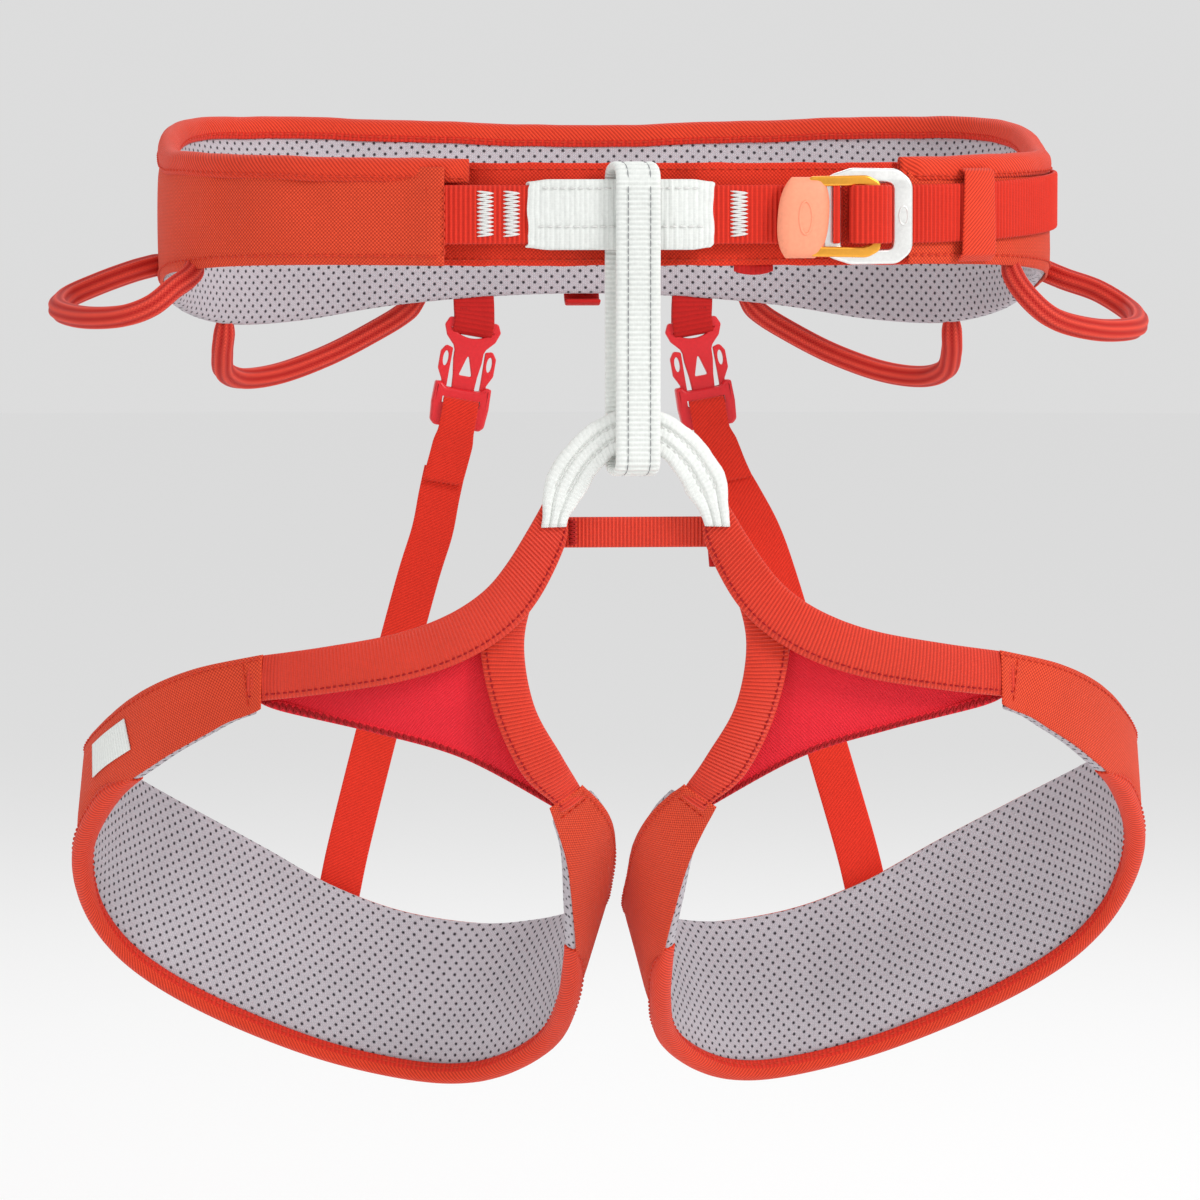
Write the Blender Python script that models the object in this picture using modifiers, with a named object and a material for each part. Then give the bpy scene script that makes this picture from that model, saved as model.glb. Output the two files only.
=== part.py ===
"""Sport climbing harness: padded waist belt with a slide buckle and four gear loops, two padded leg loops
on a tie-in arch, a belay loop and two elastic rear risers with side-release buckles.

Metres, +Z up, +X to the wearer's left, the front of the belt towards -Y. The origin is at the centre of the
waist ring, level with the middle of the front webbing. The harness keeps the shape that it has when worn.
"""

import math

import bmesh
import bpy
import numpy as np
from mathutils import Matrix, Vector

# Driving dimensions
RING_HALF_WIDTH = 0.157
RING_HALF_DEPTH = 0.102
RING_POWER = 2.6  # a superellipse: flat across the front and back, round at the hips
SHELL_T = 0.0009
FOAM_T = 0.0041
LINING_T = 0.0012
GAP = 0.0003
PAD_T = SHELL_T + FOAM_T + LINING_T + 2 * GAP
BINDING_H = 0.0070
PAD_LEFT_END_X = -0.055
PAD_RIGHT_END_X = 0.0985
PANEL_T = 0.0012
STRAP_W = 0.0200
STRAP_T = 0.0020
STRAP_Z = -0.0005
STRAP_D = 0.0015  # middle of the waist webbing, measured outwards from the shell's face
SLEEVE_HALF = 0.0315
SLEEVE_H = 0.0236
SLEEVE_T = 0.0009
BELAY_W = 0.0152
BELAY_T = 0.0028
GEAR_R = 0.0040
RISER_X = 0.0403
RISER_W = 0.0148
LEG_FOAM_T = 0.0034
RIM_GAP = 0.0008
LEG_STRAP_T = 0.0018
HIP_AXIS_X = 0.0300
HIP_AXIS_Y = -0.0960
HIP_AXIS_Z = -0.1040
LEG_CENTRE_X = 0.0030  # the tie-in line sits a little to one side of the middle of the belt

# Colours, linear
ORANGE = (0.78, 0.085, 0.035)
RED = (0.70, 0.035, 0.012)
DEEP_RED = (0.42, 0.012, 0.012)
PINK_RED = (0.72, 0.022, 0.040)
WHITE = (0.84, 0.86, 0.84)
GREY = (0.58, 0.57, 0.58)
GOLD = (0.78, 0.32, 0.03)
SILVER = (0.80, 0.80, 0.78)
PEACH = (0.88, 0.36, 0.24)

HARNESS = "climbing_harness"
CUTTERS = "cutters"


# Scene, materials and collections


def start_scene():
    for thing in list(bpy.data.objects):
        bpy.data.objects.remove(thing, do_unlink=True)
    for title in (HARNESS, CUTTERS):
        bpy.context.scene.collection.children.link(bpy.data.collections.new(title))


def material(title, colour, roughness, metallic=0.0):
    made = bpy.data.materials.new(title)
    made.use_nodes = True
    shader = made.node_tree.nodes["Principled BSDF"]
    shader.inputs["Base Color"].default_value = (*colour, 1.0)
    shader.inputs["Roughness"].default_value = roughness
    shader.inputs["Metallic"].default_value = metallic
    return made


def add_object(title, data, look, parent=None):
    """Puts new data in the scene as a named part with a material of its own."""
    part = bpy.data.objects.new(title, data)
    bpy.data.collections[HARNESS].objects.link(part)
    colour, roughness, metallic = look
    data.materials.append(material(title, colour, roughness, metallic))
    if parent is not None:
        part.parent = parent
        part.matrix_parent_inverse = parent.matrix_world.inverted()
    return part


def add_pivot(title, place):
    """An empty on a joint's axis, for the pieces that turn or slide there."""
    pivot = bpy.data.objects.new(title, None)
    pivot.empty_display_size = 0.01
    bpy.data.collections[HARNESS].objects.link(pivot)
    pivot.location = place
    bpy.context.view_layer.update()
    return pivot


FABRIC = 0.85
ORANGE_CLOTH = (ORANGE, FABRIC, 0.0)
RED_CLOTH = (RED, 0.75, 0.0)
DEEP_CLOTH = (DEEP_RED, 0.75, 0.0)
WHITE_CLOTH = (WHITE, 0.8, 0.0)
GREY_CLOTH = (GREY, FABRIC, 0.0)
RED_PLASTIC = ((0.62, 0.010, 0.018), 0.35, 0.0)


# Curves and surfaces


def matched_route(points, count):
    """A smooth curve with the same share of its points between each two given ones, so that two edges match."""
    knots = [Vector(p) for p in points]
    last = len(knots) - 1
    route = []
    for place in np.linspace(0, last, count):
        i = min(int(place), last - 1)
        t = place - i
        a, b, c, d = (knots[min(max(i + k, 0), last)] for k in (-1, 0, 1, 2))
        bend = (2 * a - 5 * b + 4 * c - d) * t**2 + (3 * b - a - 3 * c + d) * t**3
        route.append(0.5 * (2 * b + (c - a) * t + bend))
    return route


def smooth_route(points, count):
    """Points at equal steps along a smooth curve through the given ones."""
    fine = 24  # steps between two given points
    rows = np.array([tuple(p) for p in matched_route(points, fine * (len(points) - 1) + 1)])
    lengths = np.concatenate([[0], np.cumsum(np.linalg.norm(np.diff(rows, axis=0), axis=1))])
    places = np.linspace(0, lengths[-1], count)
    return [Vector([np.interp(p, lengths, rows[:, k]) for k in range(3)]) for p in places]


def surface_normals(rows):
    """Unit normals of a grid of points, from the directions along and across it."""
    grid = np.array([[tuple(p) for p in row] for row in rows])
    along = np.gradient(grid, axis=0)
    across = np.gradient(grid, axis=1)
    normals = np.cross(along, across)
    return grid, normals / np.linalg.norm(normals, axis=2, keepdims=True)


def offset_rows(rows, distance):
    grid, normals = surface_normals(rows)
    moved = grid + normals * distance
    return [[Vector(p) for p in row] for row in moved]


def sheet_part(title, rows, thickness, look, closed=False, bevel=0.0, parent=None):
    """A solid band: an open surface through rows of points, thickened evenly to both sides."""
    shape = bmesh.new()
    grid = [[shape.verts.new(p) for p in row] for row in rows]
    pairs = list(zip(grid, grid[1:], strict=False))
    if closed:
        pairs.append((grid[-1], grid[0]))
    for row, after in pairs:
        for k in range(len(row) - 1):
            shape.faces.new((row[k], after[k], after[k + 1], row[k + 1]))
    bmesh.ops.recalc_face_normals(shape, faces=shape.faces[:])
    mesh = bpy.data.meshes.new(title)
    shape.to_mesh(mesh)
    shape.free()
    mesh.shade_smooth()
    part = add_object(title, mesh, look, parent)
    thick = part.modifiers.new("thickness", "SOLIDIFY")
    thick.thickness = thickness
    thick.offset = 0.0
    thick.use_even_offset = False
    if bevel:
        soft = part.modifiers.new("soft edge", "BEVEL")
        soft.width = bevel
        soft.segments = 1
        soft.limit_method = "ANGLE"
        soft.angle_limit = math.radians(50)
    mesh.set_sharp_from_angle(angle=math.radians(45))
    return part


def between_edges(upper, lower, columns, low_share=None):
    """Rows of points from a lower edge to an upper one; low_share lifts the lower end of each row."""
    rows = []
    for i, (top, low) in enumerate(zip(upper, lower, strict=True)):
        start = low.lerp(top, low_share[i]) if low_share is not None else low
        rows.append([start.lerp(top, k / (columns - 1)) for k in range(columns)])
    return rows


def tube_part(title, route, radius, look, parent=None):
    """A round cord or tube on a poly curve, with filled caps."""
    curve = bpy.data.curves.new(title, "CURVE")
    curve.dimensions = "3D"
    curve.bevel_depth = radius
    curve.bevel_resolution = 2
    curve.use_fill_caps = True
    line = curve.splines.new("POLY")
    line.points.add(len(route) - 1)
    for point, place in zip(line.points, route, strict=True):
        point.co = (*place, 1.0)
        point.radius = 1.0
    return add_object(title, curve, look, parent)


def outline_part(title, outlines, thickness, look, frame, parent=None):
    """A flat plate from 2D outlines, the later ones as holes, placed by a matrix."""
    curve = bpy.data.curves.new(title, "CURVE")
    curve.dimensions = "2D"
    curve.fill_mode = "BOTH"
    curve.extrude = thickness / 2
    for outline in outlines:
        line = curve.splines.new("POLY")
        line.points.add(len(outline) - 1)
        for point, (x, y) in zip(line.points, outline, strict=True):
            point.co = (x, y, 0.0, 1.0)
        line.use_cyclic_u = True
    part = add_object(title, curve, look)
    part.matrix_world = frame
    if parent is not None:
        bpy.context.view_layer.update()
        part.parent = parent
        part.matrix_parent_inverse = parent.matrix_world.inverted()
    return part


def round_rectangle(low_x, high_x, low_y, high_y, radius, steps=4):
    outline = []
    corners = (
        (high_x - radius, high_y - radius, 0),
        (low_x + radius, high_y - radius, 90),
        (low_x + radius, low_y + radius, 180),
        (high_x - radius, low_y + radius, 270),
    )
    for x, y, start in corners:
        for step in range(steps + 1):
            angle = math.radians(start + 90 * step / steps)
            outline.append((x + radius * math.cos(angle), y + radius * math.sin(angle)))
    return outline


def ease(value):
    """0 below 0, 1 above 1 and a smooth step between."""
    value = min(max(value, 0.0), 1.0)
    return value * value * (3 - 2 * value)


# The waist ring


def ring_line():
    """The shell's outer face in plan, as arc lengths from the middle of the front and the points there."""
    angles = np.linspace(-math.pi, math.pi, 2881)
    share = 2 / RING_POWER
    x = RING_HALF_WIDTH * np.sign(np.sin(angles)) * np.abs(np.sin(angles)) ** share
    y = -RING_HALF_DEPTH * np.sign(np.cos(angles)) * np.abs(np.cos(angles)) ** share
    lengths = np.concatenate([[0], np.cumsum(np.hypot(np.diff(x), np.diff(y)))])
    return lengths - np.interp(0.0, angles, lengths), x, y


RING_S, RING_X, RING_Y = ring_line()
RING_GIRTH = RING_S[-1] - RING_S[0]


def ring_s(x):
    """The arc length at which the front half of the ring has this X."""
    front = (RING_Y < 0.0) | (np.abs(RING_X) >= RING_HALF_WIDTH * 0.9999)
    return float(np.interp(x, RING_X[front], RING_S[front]))


def ring_point(s, out, z):
    """A point on the ring at arc length s, moved outwards by out."""
    s = (s + RING_GIRTH / 2) % RING_GIRTH - RING_GIRTH / 2
    step = 0.004
    x, y = (float(np.interp(s, RING_S, line)) for line in (RING_X, RING_Y))
    ahead, behind = ((s + side * step + RING_GIRTH / 2) % RING_GIRTH - RING_GIRTH / 2 for side in (1, -1))
    dx = np.interp(ahead, RING_S, RING_X) - np.interp(behind, RING_S, RING_X)
    dy = np.interp(ahead, RING_S, RING_Y) - np.interp(behind, RING_S, RING_Y)
    size = math.hypot(dx, dy)
    return Vector((x + out * dy / size, y - out * dx / size, z))


PAD_S0 = ring_s(PAD_RIGHT_END_X)
PAD_S1 = RING_GIRTH + ring_s(PAD_LEFT_END_X)


def height_at(s, stations):
    """An edge height at arc length s, the same on both sides: a smooth curve through (degrees, height)."""
    point = ring_point(s, 0.0, 0.0)
    turn = math.degrees(math.atan2(abs(point.x) / RING_HALF_WIDTH, -point.y / RING_HALF_DEPTH))
    angles, heights = (np.array(line) for line in zip(*stations, strict=True))
    slopes = np.gradient(heights, angles)
    slopes[0] = slopes[-1] = 0.0
    i = int(np.clip(np.searchsorted(angles, turn) - 1, 0, len(angles) - 2))
    span = angles[i + 1] - angles[i]
    t = (turn - angles[i]) / span
    rise = (3 * t**2 - 2 * t**3) * (heights[i + 1] - heights[i])
    bend = (t - 2 * t**2 + t**3) * slopes[i] + (t**3 - t**2) * slopes[i + 1]
    return float(heights[i] + rise + bend * span)


TOP_STATIONS = ((0, 0.0175), (60, 0.0195), (85, 0.0215), (98, 0.0262), (112, 0.0302), (135, 0.0318))
TOP_STATIONS += ((160, 0.0300), (180, 0.0285))
LOW_STATIONS = ((0, -0.0180), (58, -0.0190), (80, -0.0235), (97, -0.0290), (114, -0.0375), (130, -0.0428))
LOW_STATIONS += ((141, -0.0418), (154, -0.0368), (166, -0.0338), (180, -0.0325))


def ring_band(title, s0, s1, low, high, out, thickness, look, count, columns=2, parent=None, bevel=0.0):
    """A band that lies on the ring; low and high are heights, or functions of the arc length."""
    rows = []
    for s in np.linspace(s0, s1, count):
        z0 = low(s) if callable(low) else low
        z1 = high(s) if callable(high) else high
        rows.append([ring_point(s, out, z0 + (z1 - z0) * k / (columns - 1)) for k in range(columns)])
    return sheet_part(title, rows, thickness, look, bevel=bevel, parent=parent)


def pad_top(s):
    return height_at(s, TOP_STATIONS) - BINDING_H - GAP


def pad_low(s):
    return height_at(s, LOW_STATIONS)


def make_waist_pad():
    count = 48
    ring_band("waist_shell", PAD_S0, PAD_S1, pad_low, pad_top, -SHELL_T / 2, SHELL_T, ORANGE_CLOTH, count)
    foam_out = -(SHELL_T + GAP + FOAM_T / 2)
    ring_band("waist_foam", PAD_S0, PAD_S1, pad_low, pad_top, foam_out, FOAM_T, GREY_CLOTH, count)
    lining_out = -(SHELL_T + FOAM_T + 2 * GAP + LINING_T / 2)
    ring_band("waist_lining", PAD_S0, PAD_S1, pad_low, pad_top, lining_out, LINING_T, GREY_CLOTH, count)

    def band_low(s):
        return height_at(s, TOP_STATIONS) - BINDING_H

    def band_top(s):
        return height_at(s, TOP_STATIONS)

    ring_band(
        "waist_top_binding",
        PAD_S0,
        PAD_S1,
        band_low,
        band_top,
        -PAD_T / 2,
        PAD_T,
        ORANGE_CLOTH,
        count,
        bevel=0.0018,
    )


def make_waist_front():
    """The woven panel that closes the front, the webbing on it and the white tie-in sleeve."""
    end_gap = 0.0006
    left = ring_s(PAD_LEFT_END_X) + end_gap
    right = ring_s(PAD_RIGHT_END_X) - end_gap
    panel_out = -(PAD_T + PANEL_T / 2)
    ring_band("waist_front_panel", left, right, -0.0180, 0.0170, panel_out, PANEL_T, ORANGE_CLOTH, 18)
    low, high = STRAP_Z - STRAP_W / 2, STRAP_Z + STRAP_W / 2
    strap_end = ring_s(0.0705)
    strap_start = ring_s(PAD_LEFT_END_X) - 0.0060
    ring_band("waist_strap", strap_start, strap_end, low, high, STRAP_D, STRAP_T, RED_CLOTH, 16, bevel=0.0004)
    make_tie_in_sleeve()


def make_tie_in_sleeve():
    """A flat woven tube round the webbing: its section is an oblong, swept along the ring."""
    reach = STRAP_T / 2 + GAP + SLEEVE_T / 2
    half = SLEEVE_H / 2
    edge = half - SLEEVE_T / 2
    outline = [(reach, -half + reach), (reach, half - reach), (reach * 0.6, edge), (-reach * 0.6, edge)]
    outline += [(-reach, half - reach), (-reach, -half + reach), (-reach * 0.6, -edge), (reach * 0.6, -edge)]
    rows = []
    for out, z in outline:
        places = np.linspace(-SLEEVE_HALF, SLEEVE_HALF, 9)
        rows.append([ring_point(s, STRAP_D + out, STRAP_Z + z) for s in places])
    sheet_part("tie_in_sleeve", rows, SLEEVE_T, WHITE_CLOTH, closed=True)


# The slide buckle

BUCKLE_X = 0.0808
BUCKLE_Z = -0.0012
PLATE_T = 0.0020
INNER_PLATE_D = 0.0045  # middle of the gold plate, outwards from the shell's face
OUTER_PLATE_D = 0.0070


def buckle_frame(out):
    """Axes of the flat buckle: X along the belt, Y up, Z outwards, at the middle of the buckle."""
    s = ring_s(BUCKLE_X)
    place = ring_point(s, out, BUCKLE_Z)
    along = (ring_point(s + 0.01, 0, 0) - ring_point(s - 0.01, 0, 0)).normalized()
    up = Vector((0.0, 0.0, 1.0))
    outwards = along.cross(up)
    return Matrix.Translation(place) @ Matrix((along, up, outwards)).transposed().to_4x4()


def make_buckle():
    inner = [round_rectangle(-0.0158, 0.0112, -0.0150, 0.0150, 0.0030)]
    inner.append(round_rectangle(-0.0116, 0.0070, -0.0108, 0.0108, 0.0010))
    gold = (GOLD, 0.28, 1.0)
    outline_part("buckle_inner_frame", inner, PLATE_T, gold, buckle_frame(INNER_PLATE_D))
    pivot = add_pivot("buckle_slide_axis", buckle_frame(OUTER_PLATE_D).translation)
    outer = [round_rectangle(-0.0112, 0.0176, -0.0158, 0.0158, 0.0035)]
    outer.append(round_rectangle(-0.0072, 0.0102, -0.0112, 0.0112, 0.0010))
    silver = (SILVER, 0.3, 1.0)
    outline_part("buckle_outer_frame", outer, PLATE_T + 0.0004, silver, buckle_frame(OUTER_PLATE_D), pivot)
    fold = [round_rectangle(-0.0035, 0.0060, 0.0000, 0.0086, 0.0030)]
    turned = buckle_frame(0.0) @ Matrix.Rotation(math.radians(90), 4, "X")
    outline_part("buckle_webbing_fold", fold, STRAP_W, DEEP_CLOTH, turned @ Matrix.Translation((0, 0.0004, 0)))
    make_pull_tab()


def make_pull_tab():
    """A soft moulded tab over the webbing, beside the inner frame."""
    rows = []
    start, end = ring_s(0.0505), ring_s(0.0622)
    for s in np.linspace(start, end, 5):
        rows.append([ring_point(s, 0.0046, z) for z in (-0.0136, -0.0045, 0.0045, 0.0112)])
    sheet_part("buckle_pull_tab", rows, 0.0032, (PEACH, 0.5, 0.0), bevel=0.0009)


def make_tail():
    """The free end of the webbing, over the right half of the belt, and the loop that keeps it flat."""
    start, end = ring_s(0.0985), ring_s(0.1500) + 0.0480

    def middle(s):
        return STRAP_Z + 0.0045 * ease((s - start) / (end - start))

    def low(s):
        return middle(s) - STRAP_W / 2

    def high(s):
        return middle(s) + STRAP_W / 2

    ring_band("waist_strap_tail", start, end, low, high, STRAP_D, STRAP_T, RED_CLOTH, 20, bevel=0.0004)
    profile = ((0.0148, 0.0008), (0.0138, 0.0034), (0.0118, 0.0038), (-0.0126, 0.0038), (-0.0146, 0.0034))
    profile += ((-0.0170, 0.0008),)
    rows = []
    for s in np.linspace(ring_s(0.1140), ring_s(0.1275), 5):
        rows.append([ring_point(s, out, z) for z, out in profile])
    sheet_part("strap_keeper", rows, 0.0009, RED_CLOTH)


# Belay loop and lower tie-in

BELAY_PIVOT = Vector((LEG_CENTRE_X, -0.1035, 0.0040))
FRONT_STRAND_Y = -0.1092
BACK_STRAND_Y = -0.0983


def belay_route():
    """The belay loop's middle line, in one plane of constant X, round the sleeve above and the arch below."""
    middle = (FRONT_STRAND_Y + BACK_STRAND_Y) / 2
    reach = (BACK_STRAND_Y - FRONT_STRAND_Y) / 2
    high, low = 0.0160 - reach, -0.0870 + reach
    route = []
    for step in range(9):
        angle = math.radians(180 * step / 8)
        route.append(Vector((LEG_CENTRE_X, middle - reach * math.cos(angle), high + reach * math.sin(angle))))
    for step in range(1, 8):
        route.append(Vector((LEG_CENTRE_X, BACK_STRAND_Y, high + (low - high) * step / 8)))
    for step in range(9):
        angle = math.radians(180 * step / 8)
        route.append(Vector((LEG_CENTRE_X, middle + reach * math.cos(angle), low - reach * math.sin(angle))))
    for step in range(1, 8):
        route.append(Vector((LEG_CENTRE_X, FRONT_STRAND_Y, low + (high - low) * step / 8)))
    return route


def make_belay_loop():
    pivot = add_pivot("belay_loop_axis", BELAY_PIVOT)
    half = Vector((BELAY_W / 2, 0, 0))
    rows = [[place - half, place, place + half] for place in belay_route()]
    sheet_part("belay_loop", rows, BELAY_T, WHITE_CLOTH, closed=True, bevel=0.0005, parent=pivot)


ARCH_ROUTE = ((-0.0268, -0.0990, -0.1010), (-0.0240, -0.0995, -0.0925), (-0.0180, -0.1010, -0.0832))
ARCH_ROUTE += ((-0.0092, -0.1030, -0.0758), (0.0, -0.1035, -0.0738), (0.0092, -0.1030, -0.0758))
ARCH_ROUTE += ((0.0180, -0.1010, -0.0832), (0.0240, -0.0995, -0.0925), (0.0268, -0.0990, -0.1010))
ARCH_W = 0.0148
ARCH_T = 0.0040
ARCH_CENTRE = Vector((LEG_CENTRE_X, -0.1000, -0.1060))
ARCH_SHARES = (-0.5, -0.17, 0.17, 0.5)
BRIDGE_ROUTE = ((-0.0250, -0.0925), (-0.0120, -0.0923), (0.0, -0.0922), (0.0120, -0.0923), (0.0250, -0.0925))
BRIDGE_Z = -0.1090
BRIDGE_W = 0.0105
BRIDGE_T = 0.0018
WEBBING_EDGE = 0.0004  # the rounding of thin webbing's edges


def make_lower_tie_in():
    """The white arch that the belay loop holds, and the strap between the leg loops' tops."""
    pivot = add_pivot("arch_axis", (LEG_CENTRE_X, HIP_AXIS_Y, HIP_AXIS_Z))
    rows = []
    for place in smooth_route([(LEG_CENTRE_X + x, y, z) for x, y, z in ARCH_ROUTE], 21):
        across = (place - ARCH_CENTRE) * Vector((1, 0, 1))
        across.normalize()
        rows.append([place + across * ARCH_W * share for share in ARCH_SHARES])
    sheet_part("tie_in_arch", rows, ARCH_T, WHITE_CLOTH, bevel=0.0012, parent=pivot)
    rows = []
    for place in smooth_route([(LEG_CENTRE_X + x, y, BRIDGE_Z) for x, y in BRIDGE_ROUTE], 11):
        rows.append([place + Vector((0, 0, share * BRIDGE_W)) for share in (-0.5, 0.5)])
    sheet_part("leg_bridge_strap", rows, BRIDGE_T, RED_CLOTH, bevel=WEBBING_EDGE, parent=pivot)


# Leg loops: edges of the wearer's left loop; the other one is its mirror image.

LEG_PAD_TOP = (
    (0.1265, -0.0880, -0.1505),
    (0.1500, -0.0720, -0.1565),
    (0.1680, -0.0530, -0.1655),
    (0.1815, -0.0280, -0.1780),
    (0.1870, 0.0000, -0.1890),
    (0.1760, 0.0210, -0.1985),
    (0.1620, 0.0360, -0.2080),
    (0.1440, 0.0470, -0.2190),
    (0.1220, 0.0560, -0.2320),
    (0.0980, 0.0610, -0.2460),
    (0.0720, 0.0620, -0.2560),
    (0.0440, 0.0550, -0.2600),
    (0.0230, 0.0420, -0.2580),
    (0.0095, 0.0220, -0.2530),
    (0.0025, -0.0040, -0.2450),
    (0.0016, -0.0300, -0.2335),
    (0.0022, -0.0540, -0.2200),
    (0.0055, -0.0750, -0.2090),
    (0.0135, -0.0890, -0.2000),
)
LEG_PAD_LOW = (
    (0.1270, -0.0880, -0.1660),
    (0.1430, -0.0770, -0.1770),
    (0.1610, -0.0580, -0.1890),
    (0.1800, -0.0300, -0.2060),
    (0.1910, -0.0020, -0.2270),
    (0.1900, 0.0200, -0.2460),
    (0.1800, 0.0350, -0.2640),
    (0.1620, 0.0450, -0.2800),
    (0.1360, 0.0540, -0.2950),
    (0.1050, 0.0600, -0.3080),
    (0.0760, 0.0590, -0.3155),
    (0.0520, 0.0510, -0.3175),
    (0.0340, 0.0370, -0.3130),
    (0.0190, 0.0165, -0.3010),
    (0.0145, -0.0075, -0.2855),
    (0.0145, -0.0290, -0.2665),
    (0.0175, -0.0500, -0.2445),
    (0.0215, -0.0700, -0.2245),
    (0.0275, -0.0875, -0.2070),
)
OUTER_STRAP_TOP = (
    (0.0340, -0.0975, -0.1030),
    (0.0440, -0.1000, -0.1190),
    (0.0530, -0.1020, -0.1290),
    (0.0660, -0.1025, -0.1370),
    (0.0830, -0.1005, -0.1430),
    (0.1060, -0.0950, -0.1475),
    (0.1245, -0.0888, -0.1505),
)
OUTER_STRAP_LOW = (
    (0.0240, -0.0975, -0.1130),
    (0.0330, -0.1000, -0.1310),
    (0.0440, -0.1020, -0.1430),
    (0.0600, -0.1025, -0.1525),
    (0.0800, -0.1005, -0.1590),
    (0.1050, -0.0950, -0.1635),
    (0.1250, -0.0888, -0.1662),
)
INNER_STRAP_TOP = (
    (0.0270, -0.0985, -0.1120),
    (0.0340, -0.1000, -0.1290),
    (0.0380, -0.1005, -0.1470),
    (0.0345, -0.0985, -0.1680),
    (0.0250, -0.0945, -0.1850),
    (0.0148, -0.0905, -0.1952),
)
INNER_STRAP_LOW = (
    (0.0380, -0.0985, -0.1150),
    (0.0480, -0.1000, -0.1300),
    (0.0530, -0.1005, -0.1460),
    (0.0485, -0.0985, -0.1700),
    (0.0390, -0.0945, -0.1910),
    (0.0282, -0.0905, -0.2018),
)
GUSSET_TOP = ((0.0490, -0.0945, -0.1480), (0.0740, -0.0952, -0.1545), (0.1000, -0.0910, -0.1600))
GUSSET_TOP += ((0.1200, -0.0855, -0.1645),)
GUSSET_LOW = ((0.0335, -0.0850, -0.2010), (0.0580, -0.0900, -0.1865), (0.0880, -0.0895, -0.1775))
GUSSET_LOW += ((0.1200, -0.0855, -0.1700),)
PAD_STATIONS = 36


def side_points(points, side, centre=0.0):
    return [(centre + side * x, y, z) for x, y, z in points]


def leg_side(side):
    return "left" if side > 0 else "right"


# Where along the pad its rim binding starts and ends, and over how much of the length it grows to full height
RIM_START, RIM_END, RIM_GROWTH = 0.13, 0.86, 0.06
RIM_LEAST = 0.0030  # the lowest binding worth making
RIM_EDGE = 0.0015


def binding_share(upper, lower):
    """How much of each row of the pad the rim binding takes: none at the narrow sleeves."""
    shares = []
    last = len(upper) - 1
    for i, (top, low) in enumerate(zip(upper, lower, strict=True)):
        place = i / last
        grow = ease((place - RIM_START) / RIM_GROWTH) * ease((RIM_END - place) / RIM_GROWTH)
        shares.append((BINDING_H * grow + GAP) / (top - low).length)
    return shares


def make_leg_pad(side, pivot):
    name = leg_side(side)
    upper = matched_route(side_points(LEG_PAD_TOP, side, LEG_CENTRE_X), PAD_STATIONS)
    lower = matched_route(side_points(LEG_PAD_LOW, side, LEG_CENTRE_X), PAD_STATIONS)
    shares = binding_share(upper, lower)
    rows = between_edges(upper, lower, 3, shares)
    inward = -side
    layers = (("shell", SHELL_T, ORANGE_CLOTH), ("foam", LEG_FOAM_T, GREY_CLOTH), ("lining", LINING_T, GREY_CLOTH))
    depth = 0.0
    for layer, thickness, look in layers:
        middle = depth + thickness / 2
        part_rows = offset_rows(rows, inward * middle)
        sheet_part(f"leg_{layer}_{name}", part_rows, thickness, look, parent=pivot)
        depth += thickness + GAP
    thickness = depth - GAP
    rim_rows = []
    for i, (top, low) in enumerate(zip(upper, lower, strict=True)):
        if shares[i] * (top - low).length > RIM_LEAST:
            share = shares[i] - RIM_GAP / (top - low).length
            rim_rows.append([low, low.lerp(top, share / 2), low.lerp(top, share)])
    rim_rows = offset_rows(rim_rows, inward * thickness / 2)
    sheet_part(f"leg_rim_binding_{name}", rim_rows, thickness, ORANGE_CLOTH, parent=pivot, bevel=RIM_EDGE)


OUTER_STRAP_SHIFT = 0.0005  # outwards, off the pad's end
INNER_STRAP_SHIFT = Vector((0, 0.0036, 0))  # backwards, behind the outer strap
GUSSET_T = 0.0008


def make_leg_straps(side, pivot):
    """The two webbings from the tie-in to the pad's ends, and the mesh gusset between them."""
    name = leg_side(side)
    upper = matched_route(side_points(OUTER_STRAP_TOP, side, LEG_CENTRE_X), 19)
    lower = matched_route(side_points(OUTER_STRAP_LOW, side, LEG_CENTRE_X), 19)
    rows = offset_rows(between_edges(upper, lower, 2), side * OUTER_STRAP_SHIFT)
    sheet_part(f"leg_outer_strap_{name}", rows, LEG_STRAP_T, RED_CLOTH, parent=pivot, bevel=WEBBING_EDGE)
    upper = matched_route(side_points(INNER_STRAP_TOP, side, LEG_CENTRE_X), 17)
    lower = matched_route(side_points(INNER_STRAP_LOW, side, LEG_CENTRE_X), 17)
    rows = [[place + INNER_STRAP_SHIFT for place in row] for row in between_edges(upper, lower, 2)]
    sheet_part(f"leg_inner_strap_{name}", rows, LEG_STRAP_T, RED_CLOTH, parent=pivot, bevel=WEBBING_EDGE)
    upper = matched_route(side_points(GUSSET_TOP, side, LEG_CENTRE_X), 13)
    lower = matched_route(side_points(GUSSET_LOW, side, LEG_CENTRE_X), 13)
    rows = between_edges(upper, lower, 4)
    sheet_part(f"leg_gusset_{name}", rows, GUSSET_T, (PINK_RED, FABRIC, 0.0), parent=pivot)


# Gear loops, haul loop and risers

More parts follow.
